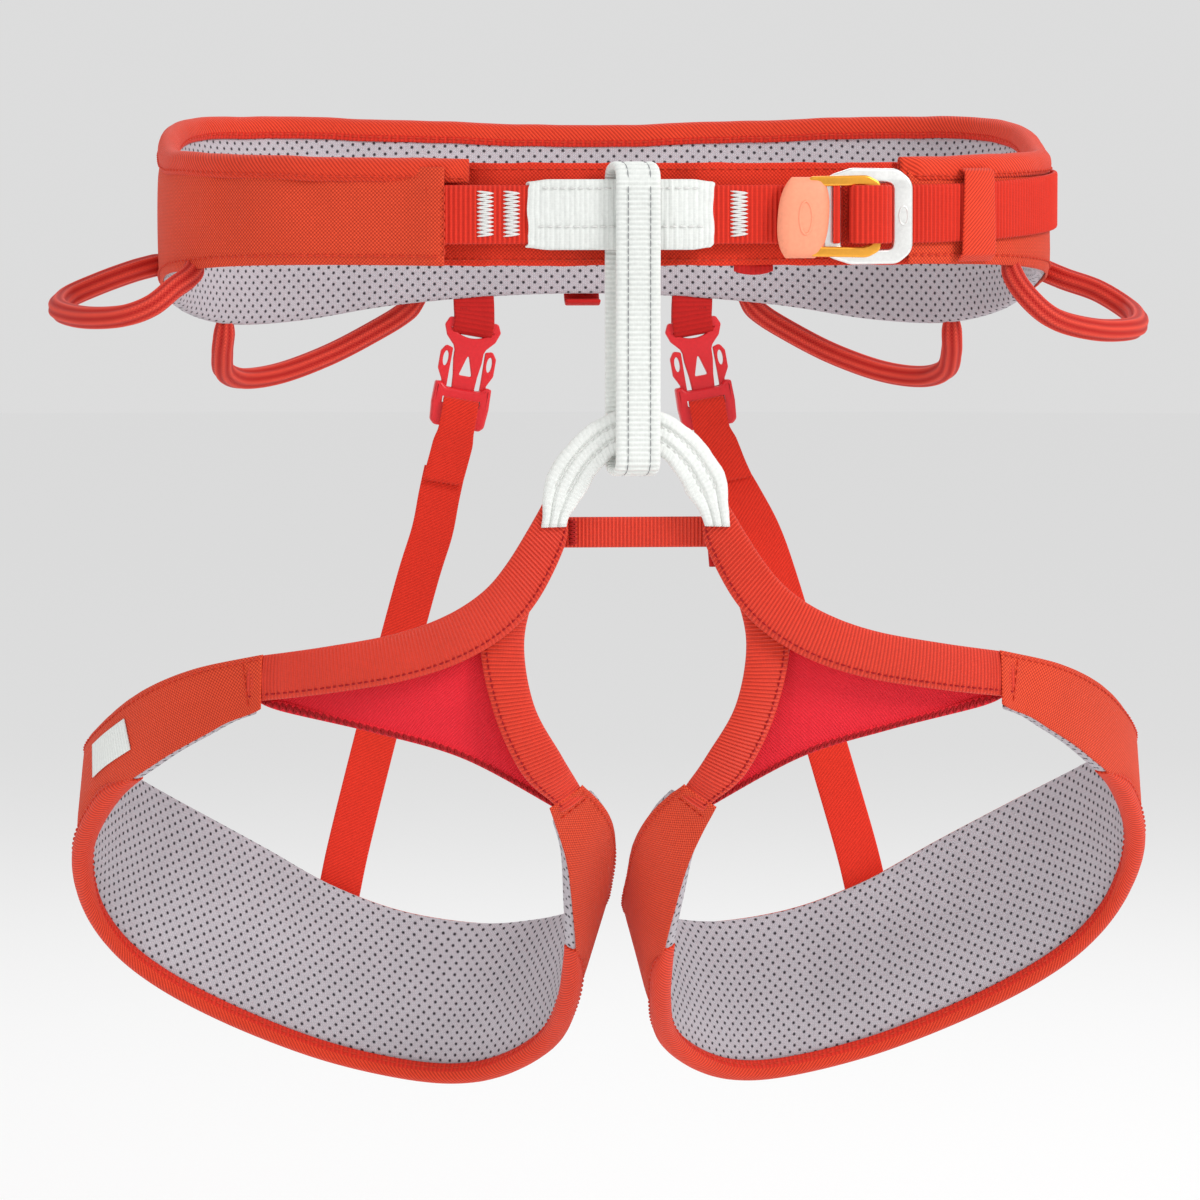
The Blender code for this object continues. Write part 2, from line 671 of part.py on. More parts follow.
FRONT_GEAR = (
    (0.1440, -0.0455, -0.0255),
    (0.1482, -0.0535, -0.0300),
    (0.1580, -0.0580, -0.0330),
    (0.1740, -0.0520, -0.0365),
    (0.1860, -0.0360, -0.0370),
    (0.1895, -0.0200, -0.0345),
    (0.1850, -0.0070, -0.0305),
    (0.1740, 0.0015, -0.0260),
    (0.1640, 0.0050, -0.0225),
    (0.1592, 0.0060, -0.0205),
)
REAR_GEAR = (
    (0.1255, 0.0655, -0.0475),
    (0.1310, 0.0710, -0.0530),
    (0.1320, 0.0800, -0.0600),
    (0.1250, 0.0920, -0.0630),
    (0.1110, 0.1010, -0.0615),
    (0.0930, 0.1060, -0.0550),
    (0.0750, 0.1060, -0.0460),
    (0.0600, 0.0985, -0.0410),
)
BRAID = ((0.75, 0.03, 0.015), 0.7, 0.0)


def make_gear_loops():
    for side in (1, -1):
        for place, points in (("front", FRONT_GEAR), ("rear", REAR_GEAR)):
            route = smooth_route(side_points(points, side), 16)
            pivot = add_pivot(f"gear_axis_{place}_{leg_side(side)}", route[0])
            tube_part(f"gear_loop_{place}_{leg_side(side)}", route, GEAR_R, BRAID, pivot)


HAUL_SECTION = ((0.1030, -0.0140), (0.1052, -0.0180), (0.1068, -0.0260), (0.1055, -0.0330), (0.1010, -0.0362))
HAUL_SECTION += ((0.0970, -0.0352),)
HAUL_W = 0.0130
HAUL_T = 0.0014


def make_haul_loop():
    """A small webbing loop at the middle of the back."""
    rows = []
    for place in smooth_route([(0.0, y, z) for y, z in HAUL_SECTION], 13):
        rows.append([place + Vector((x, 0, 0)) for x in (-HAUL_W / 2, HAUL_W / 2)])
    sheet_part("haul_loop", rows, HAUL_T, DEEP_CLOTH)


RISER_TOP_Y = 0.0975
RISER_TOP_Z = -0.0440
RISER_T = 0.0012
RISER_SLOPE = 0.26  # how far the risers' rows lean, to stay square to the strap
UPPER_STRAP_T = 0.0028
UPPER_STRAP_Z = (-0.0358, 0.0030)  # its top under the belt, and its foot above the male half's bar
STRAP_END_Y = -0.0030
STRAP_END_Z = (-0.0390, -0.0450, -0.0510)
BUCKLE_TILT = math.radians(10)  # the rear buckles lean outwards along their straps
RISER_ROUTE = (
    (0.0480, 0.0995, -0.0885),
    (0.0540, 0.0975, -0.1070),
    (0.0635, 0.0920, -0.1370),
    (0.0740, 0.0845, -0.1720),
    (0.0842, 0.0760, -0.2060),
    (0.0922, 0.0680, -0.2330),
    (0.0962, 0.0643, -0.2480),
    (0.0990, 0.0632, -0.2620),
)
RISER_SHIFT = 0.0048  # how far the risers follow the leg loops sideways, over the drop below
RISER_SHIFT_DROP = 0.0350


def riser_frame(side):
    """Axes of a rear buckle: X across, Y towards the back, Z up along the strap; origin at its top bar."""
    lean = Matrix.Rotation(-side * BUCKLE_TILT, 4, "Y")
    return Matrix.Translation((side * RISER_X, RISER_TOP_Y, RISER_TOP_Z)) @ lean


def in_riser(side, x, y, z):
    return riser_frame(side) @ Vector((x, y, z))


def make_riser_upper_strap(side):
    """The short webbing that holds the male half under the belt."""
    rows = []
    top = Vector((side * RISER_X, RISER_TOP_Y, UPPER_STRAP_Z[0]))
    low = in_riser(side, 0, 0, UPPER_STRAP_Z[1])
    for share in (0.0, 0.5, 1.0):
        middle = top.lerp(low, share)
        rows.append([middle + Vector((x, 0, 0)) for x in (-RISER_W / 2, RISER_W / 2)])
    sheet_part(f"riser_upper_strap_{leg_side(side)}", rows, UPPER_STRAP_T, DEEP_CLOTH)


# The male half's outline and slot, and the outline of a prong: (across, along the strap)
MALE_OUTLINE = [(-0.0105, 0.0010), (0.0105, 0.0010), (0.0105, -0.0085), (0.0030, -0.0085), (0.0026, -0.0250)]
MALE_OUTLINE += [(-0.0026, -0.0250), (-0.0030, -0.0085), (-0.0105, -0.0085)]
MALE_SLOT = (-0.0078, 0.0078, -0.0048, -0.0022, 0.0012, 2)
MALE_T = 0.0036
PRONG_OUTLINE = [(0.0066, -0.0090), (0.0096, -0.0090), (0.0096, -0.0130), (0.0081, -0.0150)]
PRONG_OUTLINE += [(0.0081, -0.0240), (0.0060, -0.0262), (0.0056, -0.0180)]
PRONG_T = 0.0034
PRONG_PIVOT = (0.0078, -0.0095)


def make_rear_buckle(side):
    name = leg_side(side)
    stand = riser_frame(side) @ Matrix.Rotation(math.radians(90), 4, "X")
    slot = round_rectangle(*MALE_SLOT)
    outline_part(f"riser_buckle_male_{name}", [MALE_OUTLINE, slot], MALE_T, RED_PLASTIC, stand)
    for way, word in ((1, "outer"), (-1, "inner")):
        pivot_x, pivot_z = PRONG_PIVOT
        pivot = add_pivot(f"prong_axis_{word}_{name}", in_riser(side, side * way * pivot_x, 0, pivot_z))
        prong = [(side * way * x, y) for x, y in PRONG_OUTLINE]
        outline_part(f"riser_prong_{word}_{name}", [prong], PRONG_T, RED_PLASTIC, stand, pivot)
    make_female(side, name)


SOCKET_SIZE = (0.0212, 0.0082, 0.0155)
SOCKET_Z = -0.03055
SOCKET_EDGE = 0.0016
SOCKET_HOLLOWS = (("pocket", (0.0172, 0.0046, 0.0170), -0.0222), ("strap_slot", (0.0156, 0.0100, 0.0026), -0.0340))


def block_mesh(title, size, z):
    """A block of this size whose middle is at height z on its frame's own Z axis."""
    shape = bmesh.new()
    bmesh.ops.create_cube(shape, size=1.0)
    bmesh.ops.scale(shape, vec=size, verts=shape.verts)
    bmesh.ops.translate(shape, vec=(0, 0, z), verts=shape.verts)
    mesh = bpy.data.meshes.new(title)
    shape.to_mesh(mesh)
    shape.free()
    return mesh


def make_female(side, name):
    """The socket: a rounded block with a pocket from above, a slot for the strap and side windows."""
    pivot = add_pivot(f"riser_buckle_axis_{name}", in_riser(side, 0, 0, SOCKET_Z))
    mesh = block_mesh("riser_socket", SOCKET_SIZE, SOCKET_Z)
    part = add_object(f"riser_buckle_female_{name}", mesh, RED_PLASTIC)
    part.matrix_world = riser_frame(side)
    soft = part.modifiers.new("rounded", "BEVEL")
    soft.width = SOCKET_EDGE
    soft.segments = 2
    for title, size, z in SOCKET_HOLLOWS:
        cutter = bpy.data.objects.new(f"cutter_{title}_{name}", block_mesh(f"{title}_shape", size, z))
        bpy.data.collections[CUTTERS].objects.link(cutter)
        cutter.matrix_world = riser_frame(side)
        cutter.display_type = "WIRE"
        cutter.hide_render = True
        cut = part.modifiers.new(title, "BOOLEAN")
        cut.operation = "DIFFERENCE"
        cut.object = cutter
        cut.solver = "EXACT"
    bpy.context.view_layer.update()
    part.parent = pivot
    part.matrix_parent_inverse = pivot.matrix_world.inverted()
    rows = []
    for z in STRAP_END_Z:
        rows.append([in_riser(side, x, STRAP_END_Y, z) for x in (-RISER_W / 2, RISER_W / 2)])
    sheet_part(f"riser_strap_end_{name}", rows, RISER_T, RED_CLOTH, parent=pivot)


def make_riser_strap(side, pivot):
    """The elastic webbing from the buckle to the back of the leg pad."""
    rows = []
    start = RISER_ROUTE[0][2]
    knots = []
    for x, y, z in RISER_ROUTE:
        knots.append((side * x + RISER_SHIFT * ease((start - z) / RISER_SHIFT_DROP), y, z))
    for place in smooth_route(knots, 16):
        rows.append([place + Vector((x, 0, side * x * RISER_SLOPE)) for x in (-RISER_W / 2, RISER_W / 2)])
    sheet_part(f"riser_elastic_{leg_side(side)}", rows, RISER_T, RED_CLOTH, parent=pivot)


def main():
    start_scene()
    make_waist_pad()
    make_waist_front()
    make_buckle()
    make_tail()
    make_belay_loop()
    make_lower_tie_in()
    make_gear_loops()
    make_haul_loop()
    for side in (1, -1):
        pivot = add_pivot(f"leg_axis_{leg_side(side)}", (side * HIP_AXIS_X, HIP_AXIS_Y, HIP_AXIS_Z))
        make_leg_pad(side, pivot)
        make_leg_straps(side, pivot)
        make_riser_upper_strap(side)
        make_rear_buckle(side)
        make_riser_strap(side, pivot)


main()
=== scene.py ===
"""Looks of the climbing harness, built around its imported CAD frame.

Metres, +Z up, the front of the belt towards -Y. The design values are those of the CAD part. Every soft
piece is a grid of points along and across its cloth, so its UV map is in metres and each weave has its
real pitch.
"""

import math

import bmesh
import bpy
import numpy as np
from mathutils import Matrix, Vector


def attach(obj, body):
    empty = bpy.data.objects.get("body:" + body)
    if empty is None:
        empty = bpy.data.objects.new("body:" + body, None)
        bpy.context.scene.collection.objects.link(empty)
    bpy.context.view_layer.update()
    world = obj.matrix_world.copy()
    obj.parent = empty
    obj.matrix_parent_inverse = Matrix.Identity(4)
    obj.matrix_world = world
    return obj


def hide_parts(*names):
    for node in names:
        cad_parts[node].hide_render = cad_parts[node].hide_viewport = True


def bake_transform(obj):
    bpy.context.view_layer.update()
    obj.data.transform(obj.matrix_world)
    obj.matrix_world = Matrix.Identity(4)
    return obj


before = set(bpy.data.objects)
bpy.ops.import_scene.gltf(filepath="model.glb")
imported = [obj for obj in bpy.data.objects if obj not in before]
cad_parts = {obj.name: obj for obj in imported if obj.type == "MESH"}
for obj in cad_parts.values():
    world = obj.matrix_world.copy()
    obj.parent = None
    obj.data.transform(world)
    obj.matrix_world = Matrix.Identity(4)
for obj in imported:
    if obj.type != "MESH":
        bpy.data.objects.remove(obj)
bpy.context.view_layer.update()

# Design values shared with the CAD part
RING_HALF_WIDTH, RING_HALF_DEPTH, RING_POWER = 0.157, 0.102, 2.6
PAD_T, SHELL_T = 0.0068, 0.0009
PAD_LEFT_END_X, PAD_RIGHT_END_X = -0.055, 0.0985
STRAP_W, STRAP_T, STRAP_Z, STRAP_D = 0.0200, 0.0020, -0.0005, 0.0015
LEG_PAD_T = 0.0061
LEG_CENTRE_X = 0.0030
BELAY_W, BELAY_T = 0.0152, 0.0028
ARCH_W, ARCH_T = 0.0148, 0.0040
GEAR_R = 0.0040
RISER_X, RISER_W, RISER_TOP_Y, RISER_TOP_Z = 0.0403, 0.0148, 0.0975, -0.0440
BUCKLE_TILT = math.radians(10)
BUCKLE_X, BUCKLE_Z = 0.0808, -0.0012

FORWARD, BACKWARD, UPWARD = np.array((0, -1.0, 0)), np.array((0, 1.0, 0)), np.array((0, 0, 1.0))

# Stitches and the ribs of webbing; a band without ribs has a row of points at each flat step
STITCH_R = 0.00030
STITCH_STEP = 0.0030
STITCH_LENGTH = 0.0023
RIB_PITCH, LEG_RIB_PITCH, BELAY_RIB_PITCH = 0.00165, 0.0013, 0.0017
RIB_H = 0.00022
RIB_SAMPLES = 6
FLAT_STEP = 0.0015

# Colours, linear
ORANGE, ORANGE_DARK = (0.96, 0.100, 0.036), (0.34, 0.010, 0.005)
BINDING, BINDING_DARK = (0.92, 0.070, 0.024), (0.38, 0.011, 0.005)
RED, RED_DARK = (0.86, 0.038, 0.015), (0.26, 0.005, 0.003)
LEG_RED, LEG_RED_DARK = (0.92, 0.062, 0.024), (0.34, 0.008, 0.004)
DEEP, DEEP_DARK = (0.62, 0.012, 0.010), (0.34, 0.006, 0.005)
PINK, PINK_DARK = (0.98, 0.036, 0.060), (0.80, 0.018, 0.032)
WHITE, WHITE_DARK = (0.86, 0.88, 0.85), (0.50, 0.53, 0.51)
GREY, GREY_DARK = (0.66, 0.62, 0.65), (0.38, 0.35, 0.39)
HOLE = (0.040, 0.034, 0.042)
PLASTIC = (0.72, 0.010, 0.018)
PEACH = (0.90, 0.30, 0.17)
GOLD = (0.86, 0.38, 0.04)
SILVER = (0.82, 0.82, 0.80)


# Curves and grids


def spline(points, count, even=True):
    """A smooth curve through the points, at equal steps or with an equal share between each two points."""
    knots = np.array(points, float)
    last = len(knots) - 1
    place = np.linspace(0, last, 40 * last + 1 if even else count)
    i = np.minimum(place.astype(int), last - 1)
    t = (place - i)[:, None]
    a, b, c, d = (knots[np.clip(i + k, 0, last)] for k in (-1, 0, 1, 2))
    bend = (2 * a - 5 * b + 4 * c - d) * t**2 + (3 * b - a - 3 * c + d) * t**3
    line = 0.5 * (2 * b + (c - a) * t + bend)
    return resample(line, count) if even else line


def lengths_of(line):
    """The length from the line's start to each of its points."""
    return np.concatenate([[0], np.cumsum(np.linalg.norm(np.diff(line, axis=0), axis=1))])


def at_lengths(line, run, places):
    """Points of a line at these places; run holds the length at each of its own points."""
    return np.stack([np.interp(places, run, line[:, k]) for k in range(3)], axis=1)


def resample(line, count):
    """The same line with this many points at equal steps."""
    run = lengths_of(line)
    return at_lengths(line, run, np.linspace(0, run[-1], count))


def unit(vectors):
    return vectors / np.maximum(np.linalg.norm(vectors, axis=-1, keepdims=True), 1e-12)


def ease(value):
    """A smooth step from 0 to 1."""
    value = np.clip(value, 0.0, 1.0)
    return value * value * (3 - 2 * value)


def normals_of(grid, wrap=False):
    """Unit normals of a grid (along, across, 3); wrap joins its last row to its first."""
    if wrap:
        grid = np.concatenate([grid[-2:], grid, grid[:2]])
    normals = unit(np.cross(np.gradient(grid, axis=0), np.gradient(grid, axis=1)))
    return normals[2:-2] if wrap else normals


def between(lower, upper, shares):
    """Rows of points from one edge to the other, at these shares of the width."""
    shares = np.asarray(shares, float)[None, :, None]
    return lower[:, None, :] * (1 - shares) + upper[:, None, :] * shares


def rounded_across(width, radius, inner):
    """Shares across a band and its half thickness there, with both edges rounded."""
    turn = np.radians([0, 25, 55, 90])
    edge = radius * (1 - np.cos(turn)) / width
    middle = np.linspace(edge[-1], 1 - edge[-1], inner + 2)[1:-1]
    rise = np.sin(turn)
    shares = np.concatenate([edge, middle, 1 - edge[::-1]])
    return shares, np.concatenate([rise, np.ones(inner), rise[::-1]])


def grid_uv(grid):
    """UV in metres: length along the middle, and the distance across from the middle."""
    middle = grid.shape[1] // 2
    along = lengths_of(grid[:, middle])
    steps = np.linalg.norm(np.diff(grid, axis=1), axis=2)
    across = np.concatenate([np.zeros((len(grid), 1)), np.cumsum(steps, axis=1)], axis=1)
    across -= across[:, middle : middle + 1]
    return np.stack([np.repeat(along[:, None], grid.shape[1], axis=1), across], axis=2)


def wander(values, seed, pitch):
    """Smooth unevenness between -1 and 1 along these lengths, the same at each run."""
    chance = np.random.default_rng(seed)
    total = np.zeros_like(values)
    for share in (1.0, 0.53, 0.31):
        total = total + np.sin(2 * np.pi * values / (pitch * share) + chance.uniform(0, 6.28)) * share
    return total / 1.84


# Meshes


def add_mesh(title, points, faces, uv=None, looks=(), slots=None):
    """A mesh object from its points and faces; uv has one pair for each face corner."""
    mesh = bpy.data.meshes.new(title)
    mesh.from_pydata([tuple(p) for p in np.asarray(points, float)], [], [tuple(f) for f in faces])
    if uv is not None:
        layer = mesh.uv_layers.new(name="UVMap")
        layer.data.foreach_set("uv", np.asarray(uv, np.float32).ravel())
    for look in looks:
        mesh.materials.append(look)
    if slots is not None:
        mesh.polygons.foreach_set("material_index", np.asarray(slots, np.int32))
    mesh.shade_smooth()
    made = bpy.data.objects.new(title, mesh)
    bpy.context.scene.collection.objects.link(made)
    return made


def face_out(made):
    """Drops loose points and turns all the faces outwards."""
    shape = bmesh.new()
    shape.from_mesh(made.data)
    bmesh.ops.delete(shape, geom=[v for v in shape.verts if not v.link_faces], context="VERTS")
    bmesh.ops.recalc_face_normals(shape, faces=shape.faces[:])
    shape.to_mesh(made.data)
    shape.free()
    return made


def place(made, body, slot, *replaced):
    """Binds a piece to its body and hides the CAD parts that it replaces; the material slot is not used."""
    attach(made, body)
    if replaced:
        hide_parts(*replaced)
    return made


def quads(rows, columns, wrap_rows=False, wrap_columns=False):
    """Index quads of a grid, and the row and column numbers of their corners before wrapping."""
    i, j = np.meshgrid(
        np.arange(rows if wrap_rows else rows - 1),
        np.arange(columns if wrap_columns else columns - 1),
        indexing="ij",
    )
    i, j = i.ravel(), j.ravel()
    corner_rows = np.stack([i, i + 1, i + 1, i], axis=1)
    corner_columns = np.stack([j, j, j + 1, j + 1], axis=1)
    return (corner_rows % rows) * columns + corner_columns % columns, corner_rows, corner_columns


def solid_band(title, top, bottom, looks, wrap=False, uv=None):
    """A closed solid between two grids that share their first and last columns.

    The looks are those of the top and the bottom.
    """
    rows, columns = top.shape[:2]
    uv = grid_uv(top) if uv is None else uv
    if wrap:
        step = np.linalg.norm(top[0, columns // 2] - top[-1, columns // 2])
        last = uv[-1:] + (step, 0)
        uv = np.concatenate([uv, last])
    index, corner_rows, corner_columns = quads(rows, columns, wrap)
    low = index + rows * columns
    for edge in (0, columns - 1):
        low = np.where(corner_columns == edge, index, low)
    faces = [*index.tolist(), *low[:, ::-1].tolist()]
    corners = uv[corner_rows, corner_columns]
    uvs = [corners.reshape(-1, 2), corners[:, ::-1].reshape(-1, 2)]
    slots = [0] * len(index) + [len(looks) - 1] * len(index)
    if not wrap:
        for i in (0, rows - 1):
            for j in range(columns - 1):
                cap = [i * columns + j, i * columns + j + 1]
                spots = [uv[i, j], uv[i, j + 1]]
                if j + 1 < columns - 1:
                    cap.append((rows + i) * columns + j + 1)
                    spots.append(uv[i, j + 1])
                if j > 0:
                    cap.append((rows + i) * columns + j)
                    spots.append(uv[i, j])
                faces.append(cap)
                uvs.append(np.array(spots))
                slots.append(0)
    points = np.concatenate([top.reshape(-1, 3), bottom.reshape(-1, 3)])
    return face_out(add_mesh(title, points, faces, np.concatenate(uvs), looks, slots))


def band(title, lower, upper, thickness, look, wrap=False, pitch=0.0, rib=RIB_H, inner=6, crown=0.0,
         radius=None, groove=None):
    """Webbing between two edges: a woven band with rounded edges and, with a pitch, ribs across it.

    Its middle rises by the crown, and the groove takes away thickness at each share of the width.
    """
    middle = (lower + upper) / 2
    closed = np.concatenate([middle, middle[:1]]) if wrap else middle
    length = lengths_of(closed)[-1]
    count = max(int(length / (pitch / RIB_SAMPLES)) if pitch else int(length / FLAT_STEP), 8)
    if wrap:
        lower, upper = (np.concatenate([edge, edge[:1]]) for edge in (lower, upper))
    run = lengths_of((lower + upper) / 2)
    places = np.linspace(0, run[-1], count + 1 if wrap else count)
    lower, upper = (at_lengths(edge, run, places) for edge in (lower, upper))
    if wrap:
        lower, upper, places = lower[:-1], upper[:-1], places[:-1]
    width = float(np.median(np.linalg.norm(upper - lower, axis=1)))
    shares, rise = rounded_across(width, radius or thickness / 2, inner)
    grid = between(lower, upper, shares)
    normals = normals_of(grid, wrap)
    half = np.repeat(rise[None, :] * thickness / 2, len(grid), axis=0)
    if pitch:
        turns = round(run[-1] / pitch) if wrap else run[-1] / pitch
        wave = np.cos(2 * np.pi * turns * places / run[-1])
        half += rib * (wave[:, None] - 0.4) * rise[None, :]
    if groove is not None:
        half -= groove(shares)[None, :] * rise[None, :]
    grid = grid + normals * (crown * (1 - (2 * shares - 1) ** 2))[None, :, None]
    top, bottom = grid + normals * half[..., None], grid - normals * half[..., None]
    return solid_band(title, top, bottom, [look], wrap, grid_uv(grid))


def subdivide(made, levels=1):
    """Smooths a piece by subdivision."""
    fine = made.modifiers.new("fine", "SUBSURF")
    fine.levels = fine.render_levels = levels


def cloth(title, grid, thickness, look, wrap_across=False, smooth=1, edge_look=None, edge=0):
    """A thin cloth through a grid of points, thickened evenly to both sides.

    With an edge, that many columns at its end have the edge_look.
    """
    rows, columns = grid.shape[:2]
    uv = grid_uv(grid)
    if wrap_across:
        step = np.linalg.norm(grid[:, 0] - grid[:, -1], axis=1)
        uv = np.concatenate([uv, uv[:, -1:] + np.stack([0 * step, step], axis=1)[:, None]], axis=1)
    index, corner_rows, corner_columns = quads(rows, columns, False, wrap_across)
    looks = [look, edge_look] if edge else [look]
    slots = (corner_columns[:, 0] >= columns - 1 - edge).astype(int) if edge else None
    uvs = uv[corner_rows, corner_columns].reshape(-1, 2)
    made = add_mesh(title, grid.reshape(-1, 3), index.tolist(), uvs, looks, slots)
    thick = made.modifiers.new("thickness", "SOLIDIFY")
    thick.thickness = thickness
    thick.offset = 0.0
    if smooth:
        subdivide(made, smooth)
    return made


def layer(title, outer, inner, looks):
    """A closed layer between two grids of equal size, which meet along both sides; its callers round its
    edges by subdivision.
    """
    return solid_band(title, *closed_pair(outer, inner), looks)


def closed_pair(outer, inner):
    """Adds an edge column between two grids, so that they meet along both sides."""
    low, high = (outer[:, :1] + inner[:, :1]) / 2, (outer[:, -1:] + inner[:, -1:]) / 2
    return np.concatenate([low, outer, high], axis=1), np.concatenate([low, inner, high], axis=1)


def tube(title, route, radii, look, normal, sides=24, shape=None):
    """A tube along a route; shape(angles, lengths) scales its radius, and normal starts its frames."""
    tangents = unit(np.gradient(route, axis=0))
    across = [unit(np.cross(tangents[0], normal))]
    for tangent in tangents[1:]:
        across.append(unit(across[-1] - tangent * (across[-1] @ tangent)))
    across = np.array(across)
    over = np.cross(tangents, across)
    angles = np.linspace(0, 2 * np.pi, sides, endpoint=False)
    run = lengths_of(route)
    radii = np.broadcast_to(np.asarray(radii, float), (len(route), 2))
    scale = np.ones((len(route), sides)) if shape is None else shape(angles[None, :], run[:, None])
    wide = (np.cos(angles)[None, :] * radii[:, :1] * scale)[..., None]
    tall = (np.sin(angles)[None, :] * radii[:, 1:] * scale)[..., None]
    grid = route[:, None] + across[:, None] * wide + over[:, None] * tall
    index, corner_rows, corner_columns = quads(len(route), sides, False, True)
    faces = index.tolist() + [list(range(k * sides, (k + 1) * sides)) for k in (0, len(route) - 1)]
    uv = np.stack([run[corner_rows], corner_columns * 2 * np.pi * float(radii.max()) / sides], axis=2)
    uv = np.concatenate([uv.reshape(-1, 2), np.zeros((2 * sides, 2))])
    return face_out(add_mesh(title, grid.reshape(-1, 3), faces, uv, [look]))


def threads(title, starts, ends, normals, look, radius=STITCH_R, arch=0.6):
    """Sewn stitches: small arched threads from each start to each end, lying on the cloth."""
    starts, ends, normals = (np.asarray(x, float) for x in (starts, ends, normals))
    along = ends - starts
    across = unit(np.cross(normals, along))
    up = unit(np.cross(along, across))
    sides = 6
    angles = np.linspace(0, 2 * np.pi, sides, endpoint=False)
    # Share of the length, share of the radius, and height in radii
    stations = ((0.0, 0.35, -0.6), (0.2, 1.0, 0.2), (0.5, 1.1, arch), (0.8, 1.0, 0.2), (1.0, 0.35, -0.6))
    size_of_one = sides * len(stations)
    points = []
    for share, size, height in stations:
        middle = starts + along * share + up * radius * height
        for angle in angles:
            points.append(middle + (across * math.cos(angle) + up * math.sin(angle)) * radius * size)
    points = np.stack(points, axis=1)
    index, _, _ = quads(len(stations), sides, False, True)
    pattern = index.tolist() + [list(range(sides))[::-1], list(range(size_of_one - sides, size_of_one))]
    faces = [[corner + size_of_one * n for corner in face] for n in range(len(starts)) for face in pattern]
    return face_out(add_mesh(title, points.reshape(-1, 3), faces, looks=[look]))


def seam(title, line, normals, look, lift=0.0, step=STITCH_STEP, length=STITCH_LENGTH, radius=STITCH_R):
    """A row of stitches along a line that lies on a surface."""
    run = lengths_of(line)
    places = np.arange(step / 2, run[-1] - length, step)
    up = unit(at_lengths(normals, run, places))
    raised = line + unit(normals) * lift
    starts, ends = (at_lengths(raised, run, where) for where in (places, places + length))
    return threads(title, starts, ends, up, look, radius)


def sew(title, line, normals, look, body, slot, *sizes):
    """A row of stitches that rides on a body."""
    place(seam(title, line, normals, look, *sizes), body, slot)


def zigzag(title, corner, along, across, up, teeth, look, radius=0.00035):
    """A bar tack: close zigzag stitching over a rectangle given by one corner and two sides."""
    shares = np.linspace(0, 1, teeth + 1)
    points = np.array([corner + along * (k % 2) + across * share for k, share in enumerate(shares)])
    return threads(title, points[:-1], points[1:], np.repeat(up[None], teeth, axis=0), look, radius)


def join(title, parts):
    """One piece from several meshes with the same material order."""
    bpy.ops.object.select_all(action="DESELECT")
    for part in parts:
        part.select_set(True)
    bpy.context.view_layer.objects.active = parts[0]
    bpy.ops.object.join()
    parts[0].name = title
    return parts[0]


def plate(title, outlines, thickness, bevel, stand, look):
    """A flat moulded or forged plate with rounded edges; the outlines after the first are holes."""
    curve = bpy.data.curves.new(title, "CURVE")
    curve.dimensions = "2D"
    curve.fill_mode = "BOTH"
    curve.extrude = thickness / 2 - bevel
    curve.bevel_depth = bevel
    curve.bevel_resolution = 3
    curve.offset = -bevel
    for outline in outlines:
        line = curve.splines.new("POLY")
        line.points.add(len(outline) - 1)
        for point, (x, y) in zip(line.points, outline, strict=True):
            point.co = (x, y, 0.0, 1.0)
        line.use_cyclic_u = True
    holder = bpy.data.objects.new(title, curve)
    bpy.context.scene.collection.objects.link(holder)
    bpy.context.view_layer.update()
    mesh = bpy.data.meshes.new_from_object(holder.evaluated_get(bpy.context.evaluated_depsgraph_get()))
    bpy.data.objects.remove(holder)
    shape = bmesh.new()
    shape.from_mesh(mesh)
    bmesh.ops.remove_doubles(shape, verts=shape.verts[:], dist=1e-6)
    bmesh.ops.recalc_face_normals(shape, faces=shape.faces[:])
    shape.transform(stand)
    shape.to_mesh(mesh)
    shape.free()
    mesh.materials.clear()
    mesh.materials.append(look)
    mesh.shade_smooth()
    mesh.set_sharp_from_angle(angle=math.radians(35))
    made = bpy.data.objects.new(title, mesh)
    bpy.context.scene.collection.objects.link(made)
    return made


def rounded(corners, steps=6):
    """A closed outline from corners (x, y, radius), each rounded by an arc."""
    outline = []
    total = len(corners)
    for k, (x, y, radius) in enumerate(corners):
        here = np.array((x, y))
        before, after = (np.array(corners[(k + way) % total][:2]) for way in (-1, 1))
        a, b = unit(before - here), unit(after - here)
        half = math.acos(float(np.clip(a @ b, -1, 1))) / 2
        edges = min(np.linalg.norm(before - here), np.linalg.norm(after - here))
        reach = min(radius / max(math.tan(half), 1e-6), 0.48 * edges)
        for t in np.linspace(0, 1, steps + 1) if radius else (0.0,):
            start, end = here + a * reach, here + b * reach
            outline.append(tuple((1 - t) ** 2 * start + 2 * t * (1 - t) * here + t**2 * end))
    return outline


def oval(x, y, half_width, half_height, steps=20):
    """A closed outline of an ellipse."""
    turns = np.linspace(0, 2 * np.pi, steps, endpoint=False)
    return [(x + half_width * math.cos(t), y + half_height * math.sin(t)) for t in turns]


# Cloth simulation


SIM_FRAMES = 20
SIM_PRESSURE = 4.0
WAIST_SWELL, LEG_SWELL = 0.0022, 0.0020


